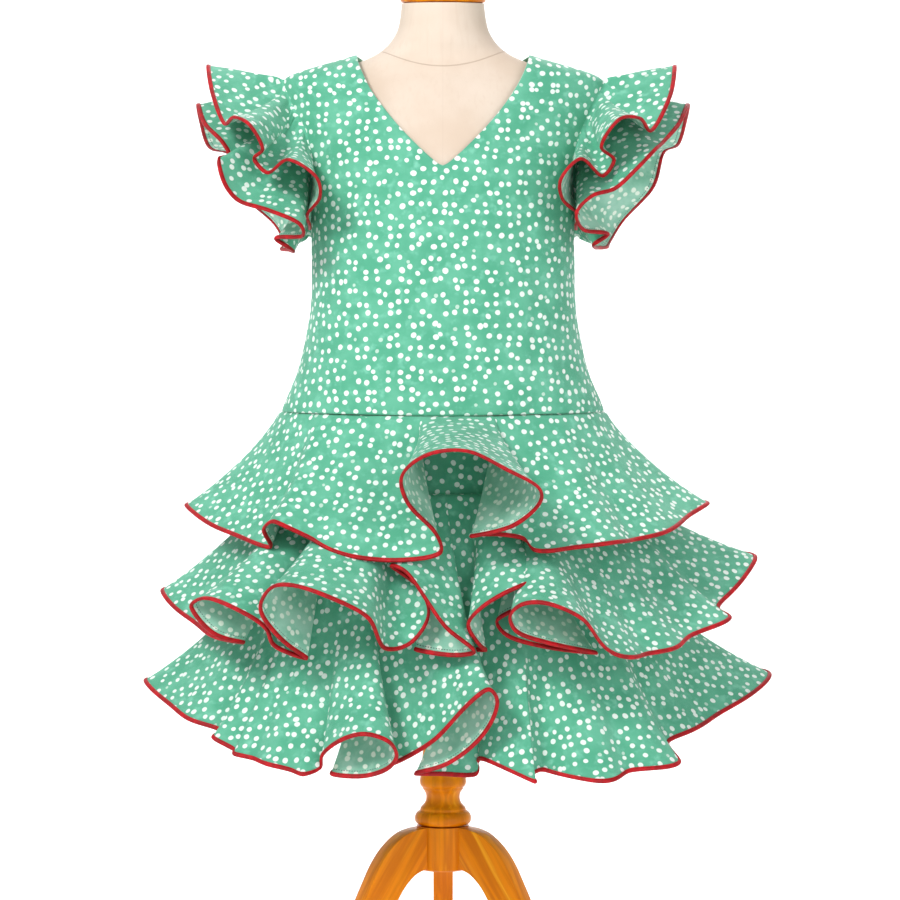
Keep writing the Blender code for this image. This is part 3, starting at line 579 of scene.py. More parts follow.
def front_inner_edge(up):
    low = HIP_SEAM - HIP_DIP
    if up <= V_SHARE:
        return 90.0, low + (V_POINT - low) * up / V_SHARE
    share = (up - V_SHARE) / (1 - V_SHARE)
    height = V_POINT + (SHOULDER_NECK - V_POINT) * share
    return turn_at(NECK_HALF * (0.93 * (1 - (1 - share) ** 1.6) + 0.07 * share**0.35), height), height


def back_inner_edge(up):
    low = BACK_NECK - 0.004
    if up <= NECK_SHARE:
        return 90.0, HIP_SEAM + (low - HIP_SEAM) * up / NECK_SHARE
    share = (up - NECK_SHARE) / (1 - NECK_SHARE)
    height = low + (SHOULDER_NECK - low) * share**1.4
    return turn_at(NECK_HALF * share**0.8, height), height


# %% Creases of the bodice
# Each runs straight from (x_top, top) down to (x_low, low).
Crease = namedtuple("Crease", "x_top top x_low low width depth")
FRONT_CREASES = (
    Crease(0.089, 0.818, 0.090, 0.722, 0.0030, 0.0022),      # dart, right
    Crease(-0.083, 0.775, -0.082, 0.728, 0.0030, 0.0020),    # dart, left
    Crease(0.078, 0.903, 0.085, 0.842, 0.007, 0.0022),       # drag lines from the armholes
    Crease(0.085, 0.842, 0.108, 0.785, 0.009, 0.0020),
    Crease(-0.090, 0.903, -0.108, 0.842, 0.007, 0.0024),
    Crease(-0.104, 0.880, -0.118, 0.800, 0.010, 0.0018),
    Crease(0.019, 0.704, 0.021, 0.690, 0.0045, 0.0034),       # puckers at the hip seam
    Crease(0.068, 0.706, 0.066, 0.690, 0.0045, 0.0030),
    Crease(0.086, 0.707, 0.088, 0.690, 0.0045, 0.0032),
    Crease(-0.060, 0.706, -0.058, 0.690, 0.004, 0.0016),
    Crease(-0.100, 0.760, -0.128, 0.715, 0.010, 0.0016),
    Crease(0.112, 0.765, 0.132, 0.715, 0.010, 0.0016),
)
BACK_CREASES = (
    Crease(0.066, 0.800, 0.064, 0.720, 0.0018, 0.0015),
    Crease(-0.066, 0.800, -0.064, 0.720, 0.0018, 0.0015),
    Crease(0.085, 0.900, 0.100, 0.830, 0.008, 0.0020),
    Crease(-0.085, 0.905, -0.102, 0.838, 0.008, 0.0020),
    Crease(0.030, 0.790, 0.100, 0.776, 0.009, 0.0016),
    Crease(-0.028, 0.782, -0.102, 0.770, 0.009, 0.0016),
    Crease(0.040, 0.705, 0.041, 0.690, 0.003, 0.0020),
    Crease(-0.052, 0.705, -0.053, 0.690, 0.003, 0.0020),
)


def sunk(point, creases):
    """How deep the creases press the cloth in here."""
    depth = 0.0
    for c in creases:
        start, way = np.array([c.x_top, c.top]), np.array([c.x_low - c.x_top, c.low - c.top])
        share = np.clip(np.dot(point[[0, 2]] - start, way) / np.dot(way, way), 0, 1)
        away = np.hypot(*(point[[0, 2]] - start - way * share))
        fade = math.sin(math.pi * min(max(share * 0.8 + 0.1, 0.0), 1.0))
        depth = max(depth, c.depth * fade * math.exp(-((away / c.width) ** 2)))
    return depth


def ripple(point, scale, height):
    """A soft unevenness that cloth has even where nothing pulls it."""
    return height * noise.noise(Vector(point) * scale)


# %% Panels of the bodice
SEAM_HALF = 0.0002        # half the gap between two panels at a seam
PANEL_COLUMNS, PANEL_ROWS = 36, 75


def panel_places(inner_edge, side, front, creases):
    """Grid of a half panel: i from the centre to the side, j from shoulder to hip."""
    places = np.zeros((PANEL_COLUMNS + 1, PANEL_ROWS + 2, 3))
    for j in range(PANEL_ROWS + 1):
        up = 1 - j / PANEL_ROWS
        (inner_turn, inner_height), (outer_turn, outer_height) = inner_edge(up), outer_edge(up)
        for i in range(PANEL_COLUMNS + 1):
            u = i / PANEL_COLUMNS
            turn = inner_turn + (outer_turn - inner_turn) * u
            height = inner_height + (outer_height - inner_height) * u
            point = figure_point(turn if front else -turn, height)
            point[1] += (-1 if front else 1) * SEAM_HALF * max(u, up**6)
            if not front:
                point[0] += SEAM_HALF * (1 - u)
            point[2] -= SEAM_HALF if up > 0.5 else -0.0002
            point[0] *= side
            inward = -point * (1, 1, 0)
            inward /= max(np.linalg.norm(inward), 1e-6)
            press = sunk(point, creases) + ripple(point, 22.0, 0.0009) + ripple(point, 60.0, 0.0004)
            # A sewn edge dips where the stitches pull it in.
            press += 0.0008 * math.exp(-up * 60) + 0.0008 * math.exp(-((1 - u) * 30)) * (up < ARM_SHARE)
            press += 0.0011 * math.exp(-u * 28) * (up > (V_SHARE if front else NECK_SHARE))
            places[i, j] = point + inward * press
    # The seam allowance is turned in at the hip.
    inward = -places[:, PANEL_ROWS] * (1, 1, 0)
    inward /= np.linalg.norm(inward, axis=1)[:, None]
    places[:, -1] = places[:, PANEL_ROWS] + inward * 0.004 + (0, 0, 0.002)
    return places


print("a half panel has", PANEL_COLUMNS * (PANEL_ROWS + 1), "faces")

# %% A half panel laid flat
# The profile of the front is measured once, so that a dot low on the slope keeps its height.
LEVELS = np.linspace(0.60, 1.06, 93)
LEAN = np.gradient([section_at(height).front for height in LEVELS], LEVELS)
PROFILE_LENGTH = np.append(0.0, np.cumsum(np.hypot(1.0, LEAN)[1:] * np.diff(LEVELS)))
QUARTER = np.radians(np.linspace(90, 0, 25))


def across_from_centre(point):
    """How far round the figure a point lies from the middle of the front or the back."""
    s = section_at(point[2])
    deep = s.front if point[1] < 0 else s.back
    outline = np.stack([s.half_width * np.cos(QUARTER) ** (2 / s.square),
                        deep * np.sin(QUARTER) ** (2 / s.square)], axis=1)
    return np.interp(abs(point[0]), outline[:, 0], run_lengths(outline))


def panel_map(places, side):
    """A half panel laid flat: across from the centre line, and up along its profile."""
    across = np.array([[across_from_centre(point) for point in column] for column in places])
    return np.stack([across * side, np.interp(places[:, :, 2], LEVELS, PROFILE_LENGTH)], axis=-1)


print("the profile is", round(PROFILE_LENGTH[-1], 3), "m long")

# %% Cut the bodice
halves = [panel_places(front_inner_edge, side, True, FRONT_CREASES) for side in (-1, 1)]
front_places = np.concatenate([halves[0][::-1], halves[1]])
front_map = np.concatenate([panel_map(halves[0], -1)[::-1], panel_map(halves[1], 1)])
BODY_MIDDLE = (0.0, 0.0, 0.85)
cloth_sides = [right_side, wrong_side]
bodice_front = grid_piece("bodice_front_panel", front_places,
                          {"cloth": front_map, "edge": front_map + 1.0}, cloth_sides, BODY_MIDDLE,
                          slit=PANEL_COLUMNS)
back_panels = []
for side, name in ((-1, "left"), (1, "right")):
    places = panel_places(back_inner_edge, side, False, BACK_CREASES)
    flat = panel_map(places, side) + (0.37, 0.11)
    panel = grid_piece(f"bodice_back_{name}_panel", places, {"cloth": flat, "edge": flat + 1.0},
                       cloth_sides, BODY_MIDDLE)
    back_panels.append((panel, f"bodice_back_{name}", surface_area(places)))
front_area = sum(surface_area(half) for half in halves)
print("front panel:", round(front_area, 4), "square metres")


# %% [markdown]
# ## The hems of the flounces
#
# A circular flounce falls in flutes. Seen from below its hem is a row of loops: the cloth
# swings out over a crown, turns back under itself along a far wall whose wrong side shows,
# and runs into the next lobe. The front half of each hem is set out point by point, because
# its loops differ. The back half is a plain row of folds, each given by its place, facing,
# width, depth and heights.

# %% Front halves, from the left side round to the right: across, forward, height
# Only the turning points of each fold are set. A curve rounds the hem between them.
FRONT_1 = (
    # left lobe
    (-0.256, 0.020, 0.605), (-0.225, 0.080, 0.585), (-0.185, 0.125, 0.571), (-0.163, 0.142, 0.567),
    # small left flute
    (-0.169, 0.158, 0.584), (-0.160, 0.168, 0.592), (-0.150, 0.172, 0.588),
    # front left lobe
    (-0.130, 0.178, 0.577), (-0.090, 0.187, 0.561), (-0.045, 0.191, 0.556), (-0.002, 0.192, 0.563),
    # big flute: its far wall on the left, its crown, its far wall on the right
    (-0.005, 0.209, 0.581), (-0.032, 0.233, 0.611), (-0.037, 0.250, 0.636),
    (-0.015, 0.261, 0.655), (0.022, 0.264, 0.659), (0.058, 0.262, 0.642),
    (0.088, 0.252, 0.625), (0.090, 0.242, 0.613), (0.066, 0.222, 0.590), (0.026, 0.202, 0.579),
    # hidden stretch
    (0.030, 0.192, 0.580), (0.055, 0.186, 0.580), (0.076, 0.187, 0.576),
    # front right lobe
    (0.085, 0.196, 0.566), (0.125, 0.197, 0.568), (0.162, 0.185, 0.573), (0.195, 0.157, 0.575),
    # right lobe
    (0.245, 0.084, 0.595), (0.264, 0.045, 0.607),
)
FRONT_2 = (
    # left lobe
    (-0.280, 0.015, 0.521), (-0.255, 0.075, 0.497), (-0.220, 0.125, 0.481), (-0.187, 0.160, 0.478),
    # first flute: its far wall and its crown
    (-0.214, 0.175, 0.487), (-0.236, 0.173, 0.513),
    (-0.222, 0.186, 0.522), (-0.190, 0.203, 0.512), (-0.163, 0.204, 0.495), (-0.157, 0.195, 0.478),
    # tuck
    (-0.126, 0.186, 0.465),
    # second flute: its far wall and its crown
    (-0.148, 0.204, 0.483), (-0.168, 0.217, 0.513), (-0.157, 0.230, 0.534), (-0.138, 0.239, 0.537),
    (-0.100, 0.247, 0.525), (-0.067, 0.241, 0.507), (-0.053, 0.211, 0.476),
    # shaded flute
    (-0.030, 0.197, 0.479), (-0.012, 0.192, 0.505), (-0.020, 0.189, 0.530), (-0.048, 0.184, 0.551),
    # middle flute: its front and its far wall
    (-0.034, 0.198, 0.547), (-0.012, 0.214, 0.517), (0.004, 0.217, 0.495), (0.030, 0.205, 0.473),
    (0.010, 0.192, 0.468), (-0.026, 0.181, 0.473),
    # hidden stretch
    (0.000, 0.170, 0.473), (0.040, 0.178, 0.472),
    # third flute: its far wall and its crown
    (0.036, 0.194, 0.476), (0.023, 0.204, 0.497),
    (0.032, 0.211, 0.511), (0.056, 0.213, 0.527), (0.090, 0.201, 0.538),
    # hidden curl
    (0.082, 0.188, 0.518), (0.050, 0.184, 0.500), (0.058, 0.188, 0.487), (0.100, 0.189, 0.475),
    (0.143, 0.197, 0.471),
    # fourth flute: its far wall and its crown
    (0.100, 0.215, 0.481), (0.067, 0.225, 0.493), (0.061, 0.229, 0.507), (0.070, 0.235, 0.518),
    (0.092, 0.244, 0.521), (0.128, 0.246, 0.506), (0.146, 0.230, 0.481), (0.160, 0.221, 0.471),
    # front right lobe
    (0.178, 0.210, 0.468), (0.215, 0.176, 0.472), (0.255, 0.126, 0.487), (0.280, 0.100, 0.498),
    # right lobe
    (0.273, 0.078, 0.505), (0.290, 0.052, 0.520), (0.304, 0.028, 0.537), (0.314, 0.000, 0.554),
)
FRONT_3 = (
    # left lobe
    (-0.297, 0.015, 0.431), (-0.282, 0.055, 0.417), (-0.252, 0.096, 0.402), (-0.218, 0.132, 0.390),
    # step
    (-0.220, 0.147, 0.388), (-0.199, 0.160, 0.378),
    # front left lobe
    (-0.200, 0.173, 0.374), (-0.160, 0.197, 0.367), (-0.132, 0.210, 0.360), (-0.113, 0.197, 0.365),
    # first flute: its crown and its far wall
    (-0.112, 0.200, 0.376), (-0.093, 0.216, 0.393), (-0.070, 0.229, 0.400), (-0.048, 0.231, 0.393),
    (-0.041, 0.223, 0.380), (-0.048, 0.212, 0.367), (-0.072, 0.199, 0.357), (-0.104, 0.186, 0.358),
    # hidden stretch
    (-0.095, 0.173, 0.362), (-0.053, 0.178, 0.364),
    # second flute: its crown and its far wall
    (-0.027, 0.192, 0.377), (-0.005, 0.204, 0.393), (0.022, 0.217, 0.424), (0.043, 0.221, 0.440),
    (0.051, 0.217, 0.431), (0.047, 0.209, 0.411), (0.030, 0.201, 0.387), (0.001, 0.192, 0.366),
    (-0.026, 0.184, 0.358),
    # hidden stretch
    (-0.002, 0.172, 0.356), (0.032, 0.173, 0.356),
    # middle lobe
    (0.033, 0.168, 0.367), (0.036, 0.179, 0.371), (0.060, 0.204, 0.364), (0.085, 0.220, 0.355),
    # front right lobe
    (0.082, 0.202, 0.359), (0.092, 0.192, 0.362), (0.120, 0.203, 0.357), (0.150, 0.210, 0.354),
    (0.185, 0.200, 0.361), (0.224, 0.168, 0.367),
    # right lobe
    (0.221, 0.150, 0.376), (0.232, 0.122, 0.386), (0.268, 0.080, 0.399), (0.302, 0.045, 0.415),
    (0.329, -0.005, 0.436),
)

# %% Back halves, one row for each fold
Fold = namedtuple("Fold", "across forward facing half depth left crest right tuck")
BACK_1 = (
    Fold(0.226, -0.072, 106, 0.040, 0.024, 0.600, 0.596, 0.584, 0.026),
    Fold(0.160, -0.180, 140, 0.042, 0.034, 0.588, 0.594, 0.588, 0.036),
    Fold(0.036, -0.222, 174, 0.046, 0.030, 0.594, 0.602, 0.594, 0.036),
    Fold(-0.112, -0.200, 208, 0.044, 0.032, 0.592, 0.598, 0.590, 0.034),
    Fold(-0.212, -0.108, 242, 0.044, 0.026, 0.588, 0.592, 0.598, 0.020),
)
BACK_2 = (
    Fold(0.268, -0.080, 104, 0.040, 0.024, 0.552, 0.530, 0.504, 0.034),
    Fold(0.182, -0.196, 138, 0.046, 0.036, 0.502, 0.512, 0.506, 0.050),
    Fold(0.046, -0.236, 173, 0.048, 0.032, 0.508, 0.520, 0.512, 0.046),
    Fold(-0.122, -0.224, 208, 0.046, 0.034, 0.508, 0.512, 0.502, 0.046),
    Fold(-0.234, -0.122, 242, 0.046, 0.028, 0.500, 0.508, 0.516, 0.024),
)
BACK_3 = (
    Fold(0.284, -0.080, 106, 0.042, 0.024, 0.436, 0.415, 0.390, 0.036),
    Fold(0.190, -0.206, 138, 0.050, 0.038, 0.392, 0.402, 0.396, 0.052),
    Fold(0.048, -0.238, 173, 0.050, 0.034, 0.396, 0.404, 0.398, 0.052),
    Fold(-0.128, -0.230, 208, 0.048, 0.036, 0.398, 0.402, 0.392, 0.048),
    Fold(-0.256, -0.122, 246, 0.048, 0.030, 0.392, 0.400, 0.412, 0.026),
)
HEMS = ((FRONT_1, BACK_1), (FRONT_2, BACK_2), (FRONT_3, BACK_3))
print("points in the front hems:", [len(front) for front, back in HEMS])

# %% A smooth curve through points


def spline(points, closed=True, steps=12):
    """A curve through the points, with even pace between near and far ones."""
    points = np.array(points, float)
    count = len(points)
    found = []
    for i in range(count if closed else count - 1):
        if closed:
            p = [points[(i + k) % count] for k in (-1, 0, 1, 2)]
        else:
            p = [points[min(max(i + k, 0), count - 1)] for k in (-1, 0, 1, 2)]
        gaps = [max(np.linalg.norm(p[k + 1][-3:] - p[k][-3:]), 1e-6) ** 0.5 for k in range(3)]
        start = (p[1] - p[0]) / gaps[0] - (p[2] - p[0]) / (gaps[0] + gaps[1])
        start = (start + (p[2] - p[1]) / gaps[1]) * gaps[1]
        end = (p[2] - p[1]) / gaps[1] - (p[3] - p[1]) / (gaps[1] + gaps[2])
        end = (end + (p[3] - p[2]) / gaps[2]) * gaps[1]
        found += [hermite(t, p[1], start, p[2], end) for t in np.arange(steps) / steps]
    found.append(points[0] if closed else points[-1])
    return np.array(found)


def spaced(curve, count):
    """count steps along a curve, closer together where it bends."""
    edges = np.diff(curve, axis=0)
    lengths = np.linalg.norm(edges, axis=1)
    ways = edges / np.maximum(lengths[:, None], 1e-9)
    bends = np.arccos(np.clip((ways[1:] * ways[:-1]).sum(axis=1), -1, 1))
    weight = lengths / 0.009 + np.append(0.0, bends) / math.radians(16)
    total = np.append(0.0, np.cumsum(weight))
    return np.interp(np.linspace(0, total[-1], count + 1), total, np.arange(len(curve)))


def evened(values, places, reach):
    """values averaged over a reach each way, along places that rise from 0."""
    out = [np.average(np.interp(place + reach * offsets, places, values), weights=1.1 - np.abs(offsets))
           for offsets in [np.linspace(-1, 1, 17)] for place in places]
    return np.array(out)


circle = [(math.sin(a), math.cos(a), 0.0) for a in np.linspace(0, 2 * math.pi, 12, endpoint=False)]
print("a curve through 12 points of a circle measures",
      round(run_lengths(spline(circle))[-1] / 2 / math.pi, 4), "of its true length")

# %% Soft folds
# Besides its flutes a flounce has shallow troughs that never turn under: the bearing of
# each, how far in it reaches at the hem, and how many degrees wide it is.
SOFT_FOLDS = (
    ((-62, 0.005, 7), (-36, 0.008, 4), (-17, 0.005, 5), (33, 0.008, 4), (50, 0.012, 5), (72, 0.006, 7)),
    ((-70, 0.006, 6), (46, 0.012, 4), (60, 0.010, 5), (77, 0.006, 6)),
    ((-76, 0.005, 6), (-61, 0.010, 4), (-46, 0.013, 4), (-35, 0.010, 3), (29, 0.013, 3),
     (43, 0.017, 4), (59, 0.012, 4), (76, 0.006, 6)),
)


def press_folds(curve, folds):
    """The curve (x, y, z) with troughs pressed towards the middle of the body."""
    bearings = np.degrees(np.arctan2(curve[:, 0], -curve[:, 1]))
    radius = np.linalg.norm(curve[:, :2], axis=1)
    inward = sum(depth * np.exp(-(((bearings - middle) / width) ** 2)) for middle, depth, width in folds)
    pressed = curve.copy()
    pressed[:, :2] *= (1 - inward / radius)[:, None]
    return pressed


# %% Points of a hem
CURL = 12.0               # degrees that a fold's head turns back past its sides
TUCK_SHARE = 0.25         # half the width of a tuck's bottom, as a share of its mouth
HANG = 0.5                # how much lower the hem lies for each metre that it is tucked in


def head_points(fold):
    """Five points round the head of a fold."""
    facing = math.radians(fold.facing)
    out = np.array([math.sin(facing), math.cos(facing), 0.0])
    along = np.array([math.cos(facing), -math.sin(facing), 0.0])
    heights = (fold.left, 0.4 * fold.left + 0.6 * fold.crest, fold.crest,
               0.4 * fold.right + 0.6 * fold.crest, fold.right)
    found = []
    for place, height in zip((-1, -0.5, 0, 0.5, 1), heights):
        angle = math.radians(place * (90 + CURL))
        found.append(np.array([fold.across, fold.forward, height])
                     + along * fold.half * math.sin(angle) + out * fold.depth * math.cos(angle))
    return found


def hem_points(front, back):
    """Points (across, forward, height) all round: the front's own, then the back's folds."""
    found = [np.array(point) for point in front]
    heads = [head_points(fold) for fold in back]
    followers = [head[0] for head in heads[1:]] + [found[0]]
    for fold, head, following in zip(back, heads, followers):
        found += head
        between = (head[-1] + following) / 2
        between[:2] -= between[:2] / np.linalg.norm(between[:2]) * fold.tuck
        between[2] -= HANG * fold.tuck
        across = (following - head[-1]) * TUCK_SHARE
        found += [between - across, between + across]
    return np.array(found)


print("points all round:", [len(hem_points(front, back)) for front, back in HEMS])

# %% A whole hem
COLUMNS = 330             # steps along a flounce's hem
DRIFT_REACH = 0.105       # how far along the hem its bearings are averaged, each way


def hem_of_flounce(front, back, folds):
    """Rows (bearing, x, y, z) along a hem, from centre back round to centre back again."""
    across, forward, height = spline(hem_points(front, back)).T
    curve = press_folds(np.stack([across, -forward, height], axis=1)[:-1], folds)
    behind = np.argmax(np.unwrap(np.arctan2(across, forward))[:-1] >= math.pi)
    curve = np.roll(curve, -behind, axis=0)
    curve = np.append(curve, curve[:1], axis=0)
    along = run_lengths(curve)
    own = np.unwrap(np.arctan2(curve[:, 0], -curve[:, 1]))
    # A loop turns back on itself, so its bearings are averaged and then made to rise.
    steady = own[0] + 2 * math.pi * along / along[-1]
    drift = np.tile((own - steady)[:-1], 3)
    three = np.concatenate([along[:-1] + k * along[-1] for k in range(3)])
    middle = slice(len(curve) - 1, 2 * (len(curve) - 1))
    even = evened(drift, three, DRIFT_REACH)[middle]
    rising = np.sort(0.93 * (steady[:-1] + even) + 0.07 * (steady[:-1] + even.mean()))
    rising = np.append(rising, rising[0] + 2 * math.pi)
    places = spaced(curve, COLUMNS)
    index = np.arange(len(curve))
    return np.column_stack([np.interp(places, index, axis)
                            for axis in (np.degrees(rising), *curve.T)])


flounce_hems = [hem_of_flounce(front, back, folds) for (front, back), folds in zip(HEMS, SOFT_FOLDS)]
print("hems measure", [round(float(run_lengths(hem[:, 1:])[-1]), 2) for hem in flounce_hems], "m")

# %% [markdown]
# ## From seam to hem
#
# Each flounce is sewn to a smaller ring: the hip seam, or a line on the plain skirt. A point
# of its hem hangs from a bearing on that ring, and the cloth between the two falls nearly
# straight, swinging out a little late. The seam allowance turns in at the top. Cloth that
# hangs free is never quite even, so a slight ripple is added that grows towards the hem.

# %% Rings, rulings and the flounces
Ring = namedtuple("Ring", "height dip half_width front back")
RINGS = (
    Ring(HIP_SEAM - 0.0004, HIP_DIP, 0.1635, 0.1215, 0.1275),
    Ring(0.6266, 0.010, 0.1700, 0.1330, 0.1330),
    Ring(0.5436, 0.018, 0.1785, 0.1420, 0.1420),
)
RING_SQUARE = 2.2         # 2 is an ellipse, and more is squarer
TRUMPET = 1.22            # how late a frill swings out: 1 is a straight cone
BINDING = 0.0046          # how far the binding reaches up the cloth
FRILL_ROWS = 13
TURNED_IN, RAISED = 0.0045, 0.0012    # where the seam allowance's edge lies from the seam
HEM_INSET = 0.0012        # how far the cloth's edge stops inside the binding


def ring_point(ring, bearing):
    s, c = sine_cosine(bearing)
    deep = ring.front if c > 0 else ring.back
    return np.array([ring.half_width * bulge(s, RING_SQUARE), -deep * bulge(c, RING_SQUARE),
                     ring.height - ring.dip * max(0.0, c) ** 2])


def ruling(seam, hem, v):
    """A point of the way from seam to hem. It first drops and then swings out."""
    out, drop = v**TRUMPET, 1 - (1 - v) ** 1.12
    return np.array([*(seam[:2] + (hem[:2] - seam[:2]) * out), seam[2] + (hem[2] - seam[2]) * drop])


def frill_places(seams, hem, middle, gather=0.0, waves=0):
    """Grid of a frill: i round the hem, j from the turned-in allowance down to the binding."""
    places = np.zeros((len(hem), FRILL_ROWS + 2, 3))
    for i, (seam, row) in enumerate(zip(seams, hem)):
        inward = (middle - seam) / np.linalg.norm(middle - seam)
        places[i, 0] = seam + inward * TURNED_IN + (0, 0, RAISED)
        last = 1 - HEM_INSET / np.linalg.norm(row[1:] - seam)
        for j in range(FRILL_ROWS + 1):
            v = last * (j / FRILL_ROWS) ** 1.15
            point = ruling(seam, row[1:], v)
            wander = 0.0016 * v * noise.noise(Vector(point) * 26.0) * (1 - v**6)
            swell = gather * math.sin(math.radians(row[0]) * waves + 0.9 * math.sin(i * 0.7))
            places[i, j + 1] = point - inward * (wander + swell * (1 - v) ** 2.4 * min(1.0, v * 9))
    return places


# %% Sew the flounces
cloth_pieces = []
ALLOWANCE = (0.0, 0.004)  # how the turned-in edge lies on the flat piece


def with_allowance(flat):
    """A strip's map with one more row above its seam."""
    return np.concatenate([flat[:, :1] + ALLOWANCE, flat], axis=1)


def sew(node, places, hem, flat, inside):
    """Makes a frill and notes its size for later."""
    maps = {"cloth": flat, "edge": with_allowance(edge_map(places[:, 1:]))}
    piece = grid_piece(node + "_cloth", places, maps, cloth_sides, inside)
    length = float(run_lengths(hem[:, 1:])[-1])
    depth = float(run_lengths(places[:, 1:], axis=1)[:, -1].max())
    cloth_pieces.append((piece, node, (length, depth), surface_area(places)))
    print(piece.name, round(length, 2), "m of hem,", round(depth * 1000), "mm deep")


for tier, (hem, ring) in enumerate(zip(flounce_hems, RINGS)):
    seams = [ring_point(ring, bearing) for bearing in hem[:, 0]]
    places = frill_places(seams, hem, np.array([0.0, 0.0, ring.height]), 0.0007, 46)
    places[-1] = places[0]
    flat = with_allowance(unrolled(places[:, 1:])) + (0.31 * tier, 0.57 * tier)
    sew(f"flounce_{tier + 1}", places, hem, flat, (0.0, 0.0, ring.height))

# %% [markdown]
# ## The binding
#
# The binding is a strip folded in half over the raw edge, so it is a little thicker than the
# cloth and stands out on both sides of it. It is made as a narrow tube: a flattened ring of
# points is carried along the hem, with its long side down the cloth.

# %% Carry a folded strip along a hem
BINDING_THICK = 0.0034
FOLD_SQUARE = 8 / 3       # how square the folded strip is in section: 2 is an ellipse


def binding_places(cloth_places, hem_line, closed):
    """Grid of a binding: i along the hem, k round the folded strip."""
    down = hem_line - cloth_places[:, -4]
    down /= np.linalg.norm(down, axis=1)[:, None]
    if closed:
        ways = np.roll(hem_line[:-1], -1, axis=0) - np.roll(hem_line[:-1], 1, axis=0)
        ways = np.append(ways, ways[:1], axis=0)
    else:
        ways = np.gradient(hem_line, axis=0)
    ways /= np.linalg.norm(ways, axis=1)[:, None]
    normal = np.cross(ways, down)
    normal /= np.linalg.norm(normal, axis=1)[:, None]
    angles = np.linspace(0, 2 * math.pi, 15)
    half, thick = BINDING / 2, BINDING_THICK / 2
    places, flat = [], []
    along = run_lengths(hem_line)
    for i, point in enumerate(hem_line):
        middle = point - down[i] * half
        pucker = 1 + 0.09 * math.sin(along[i] * 2 * math.pi / 0.0052) + 0.06 * math.sin(along[i] * 790)
        places.append([middle - down[i] * half * bulge(math.cos(angle), FOLD_SQUARE)
                       + normal[i] * thick * pucker * bulge(math.sin(angle), FOLD_SQUARE)
                       for angle in angles])
        flat.append([(along[i], half * (1 - math.cos(angle))) for angle in angles])
    return np.array(places), np.array(flat)


def make_binding(name, cloth_places, hem_line, closed):
    places, flat = binding_places(cloth_places, hem_line, closed)
    places[:, -1] = places[:, 0]
    if closed:
        places[-1] = places[0]
    piece = grid_piece(name, places, {"cloth": flat}, [red_binding], (0.0, 0.0, 0.0),
                       wall=None, levels=1, close_ends=not closed)
    bm = bmesh.new()
    bm.from_mesh(piece.data)
    bmesh.ops.recalc_face_normals(bm, faces=bm.faces)
    bm.to_mesh(piece.data)
    bm.free()
    return piece


# %% Bind the flounces
bindings = []


def bind(node, hem, places, closed):
    bindings.append((make_binding(node + "_bias_strip", places, hem[:, 1:], closed), node + "_binding"))


for tier, (hem, ring) in enumerate(zip(flounce_hems, RINGS)):
    seams = [ring_point(ring, bearing) for bearing in hem[:, 0]]
    bind(f"flounce_{tier + 1}", hem, frill_places(seams, hem, np.array([0.0, 0.0, ring.height])), True)
print(len(bindings), "bindings on the flounces")

# %% [markdown]
# ## Shoulder frills
#
# Two layers of frill stand on each armhole. The upper one is a strip from the front of the
# underarm over the shoulder to the back. The lower one is a ring. An armhole lies in an
# upright plane, so a point of the hem is given by its bearing on the armhole seam (0 at the
# shoulder, 90 in front, 180 at the underarm), and by how far it is in front of, above and
# out from the armhole's middle. The frills are gathered as they are sewn on, so close small
# pleats start at the seam and die out towards the hem.

# %% Hems of the shoulder frills
Turn = namedtuple("Turn", "seam front up out")
ARMHOLE_MIDDLE = 0.955
# Each table below holds rows of seam, front, up, out.
LEFT_UPPER = (
    (-143, -0.038, -0.078, 0.132), (-133, -0.066, -0.077, 0.134), (-122, -0.090, -0.066, 0.142),
    (-112, -0.112, -0.025, 0.167), (-92, -0.088, 0.002, 0.197), (-70, -0.112, 0.040, 0.207),
    (-44, -0.076, 0.052, 0.229), (-20, -0.044, 0.084, 0.236), (0, 0.000, 0.089, 0.237),
    (14, 0.045, 0.054, 0.228), (26, 0.076, 0.021, 0.213), (34, 0.104, 0.024, 0.201),
    (44, 0.120, 0.015, 0.185), (52, 0.110, -0.007, 0.173), (58, 0.090, -0.015, 0.183),
    (66, 0.096, -0.029, 0.170), (78, 0.124, -0.019, 0.147), (94, 0.130, -0.036, 0.120),
    (106, 0.112, -0.053, 0.117), (121, 0.086, -0.068, 0.131), (132, 0.062, -0.077, 0.130),
    (143, 0.038, -0.079, 0.1315),
)
LEFT_LOWER = (
    (0, 0.000, 0.050, 0.247), (12, 0.040, 0.025, 0.236), (24, 0.068, 0.004, 0.216),
    (34, 0.072, -0.008, 0.209), (44, 0.082, -0.012, 0.214), (53, 0.098, -0.017, 0.217),
    (63, 0.098, -0.040, 0.211), (73, 0.092, -0.055, 0.199), (85, 0.104, -0.066, 0.168),
    (97, 0.110, -0.080, 0.137), (105, 0.096, -0.090, 0.135), (113, 0.080, -0.091, 0.163),
    (124, 0.074, -0.100, 0.150), (140, 0.052, -0.102, 0.147), (160, 0.028, -0.098, 0.154),
    (184, -0.010, -0.094, 0.164), (212, -0.062, -0.084, 0.164), (234, -0.104, -0.059, 0.177),
    (256, -0.078, -0.028, 0.211), (282, -0.104, 0.012, 0.223), (310, -0.068, 0.016, 0.242),
    (337, -0.038, 0.039, 0.248),
)
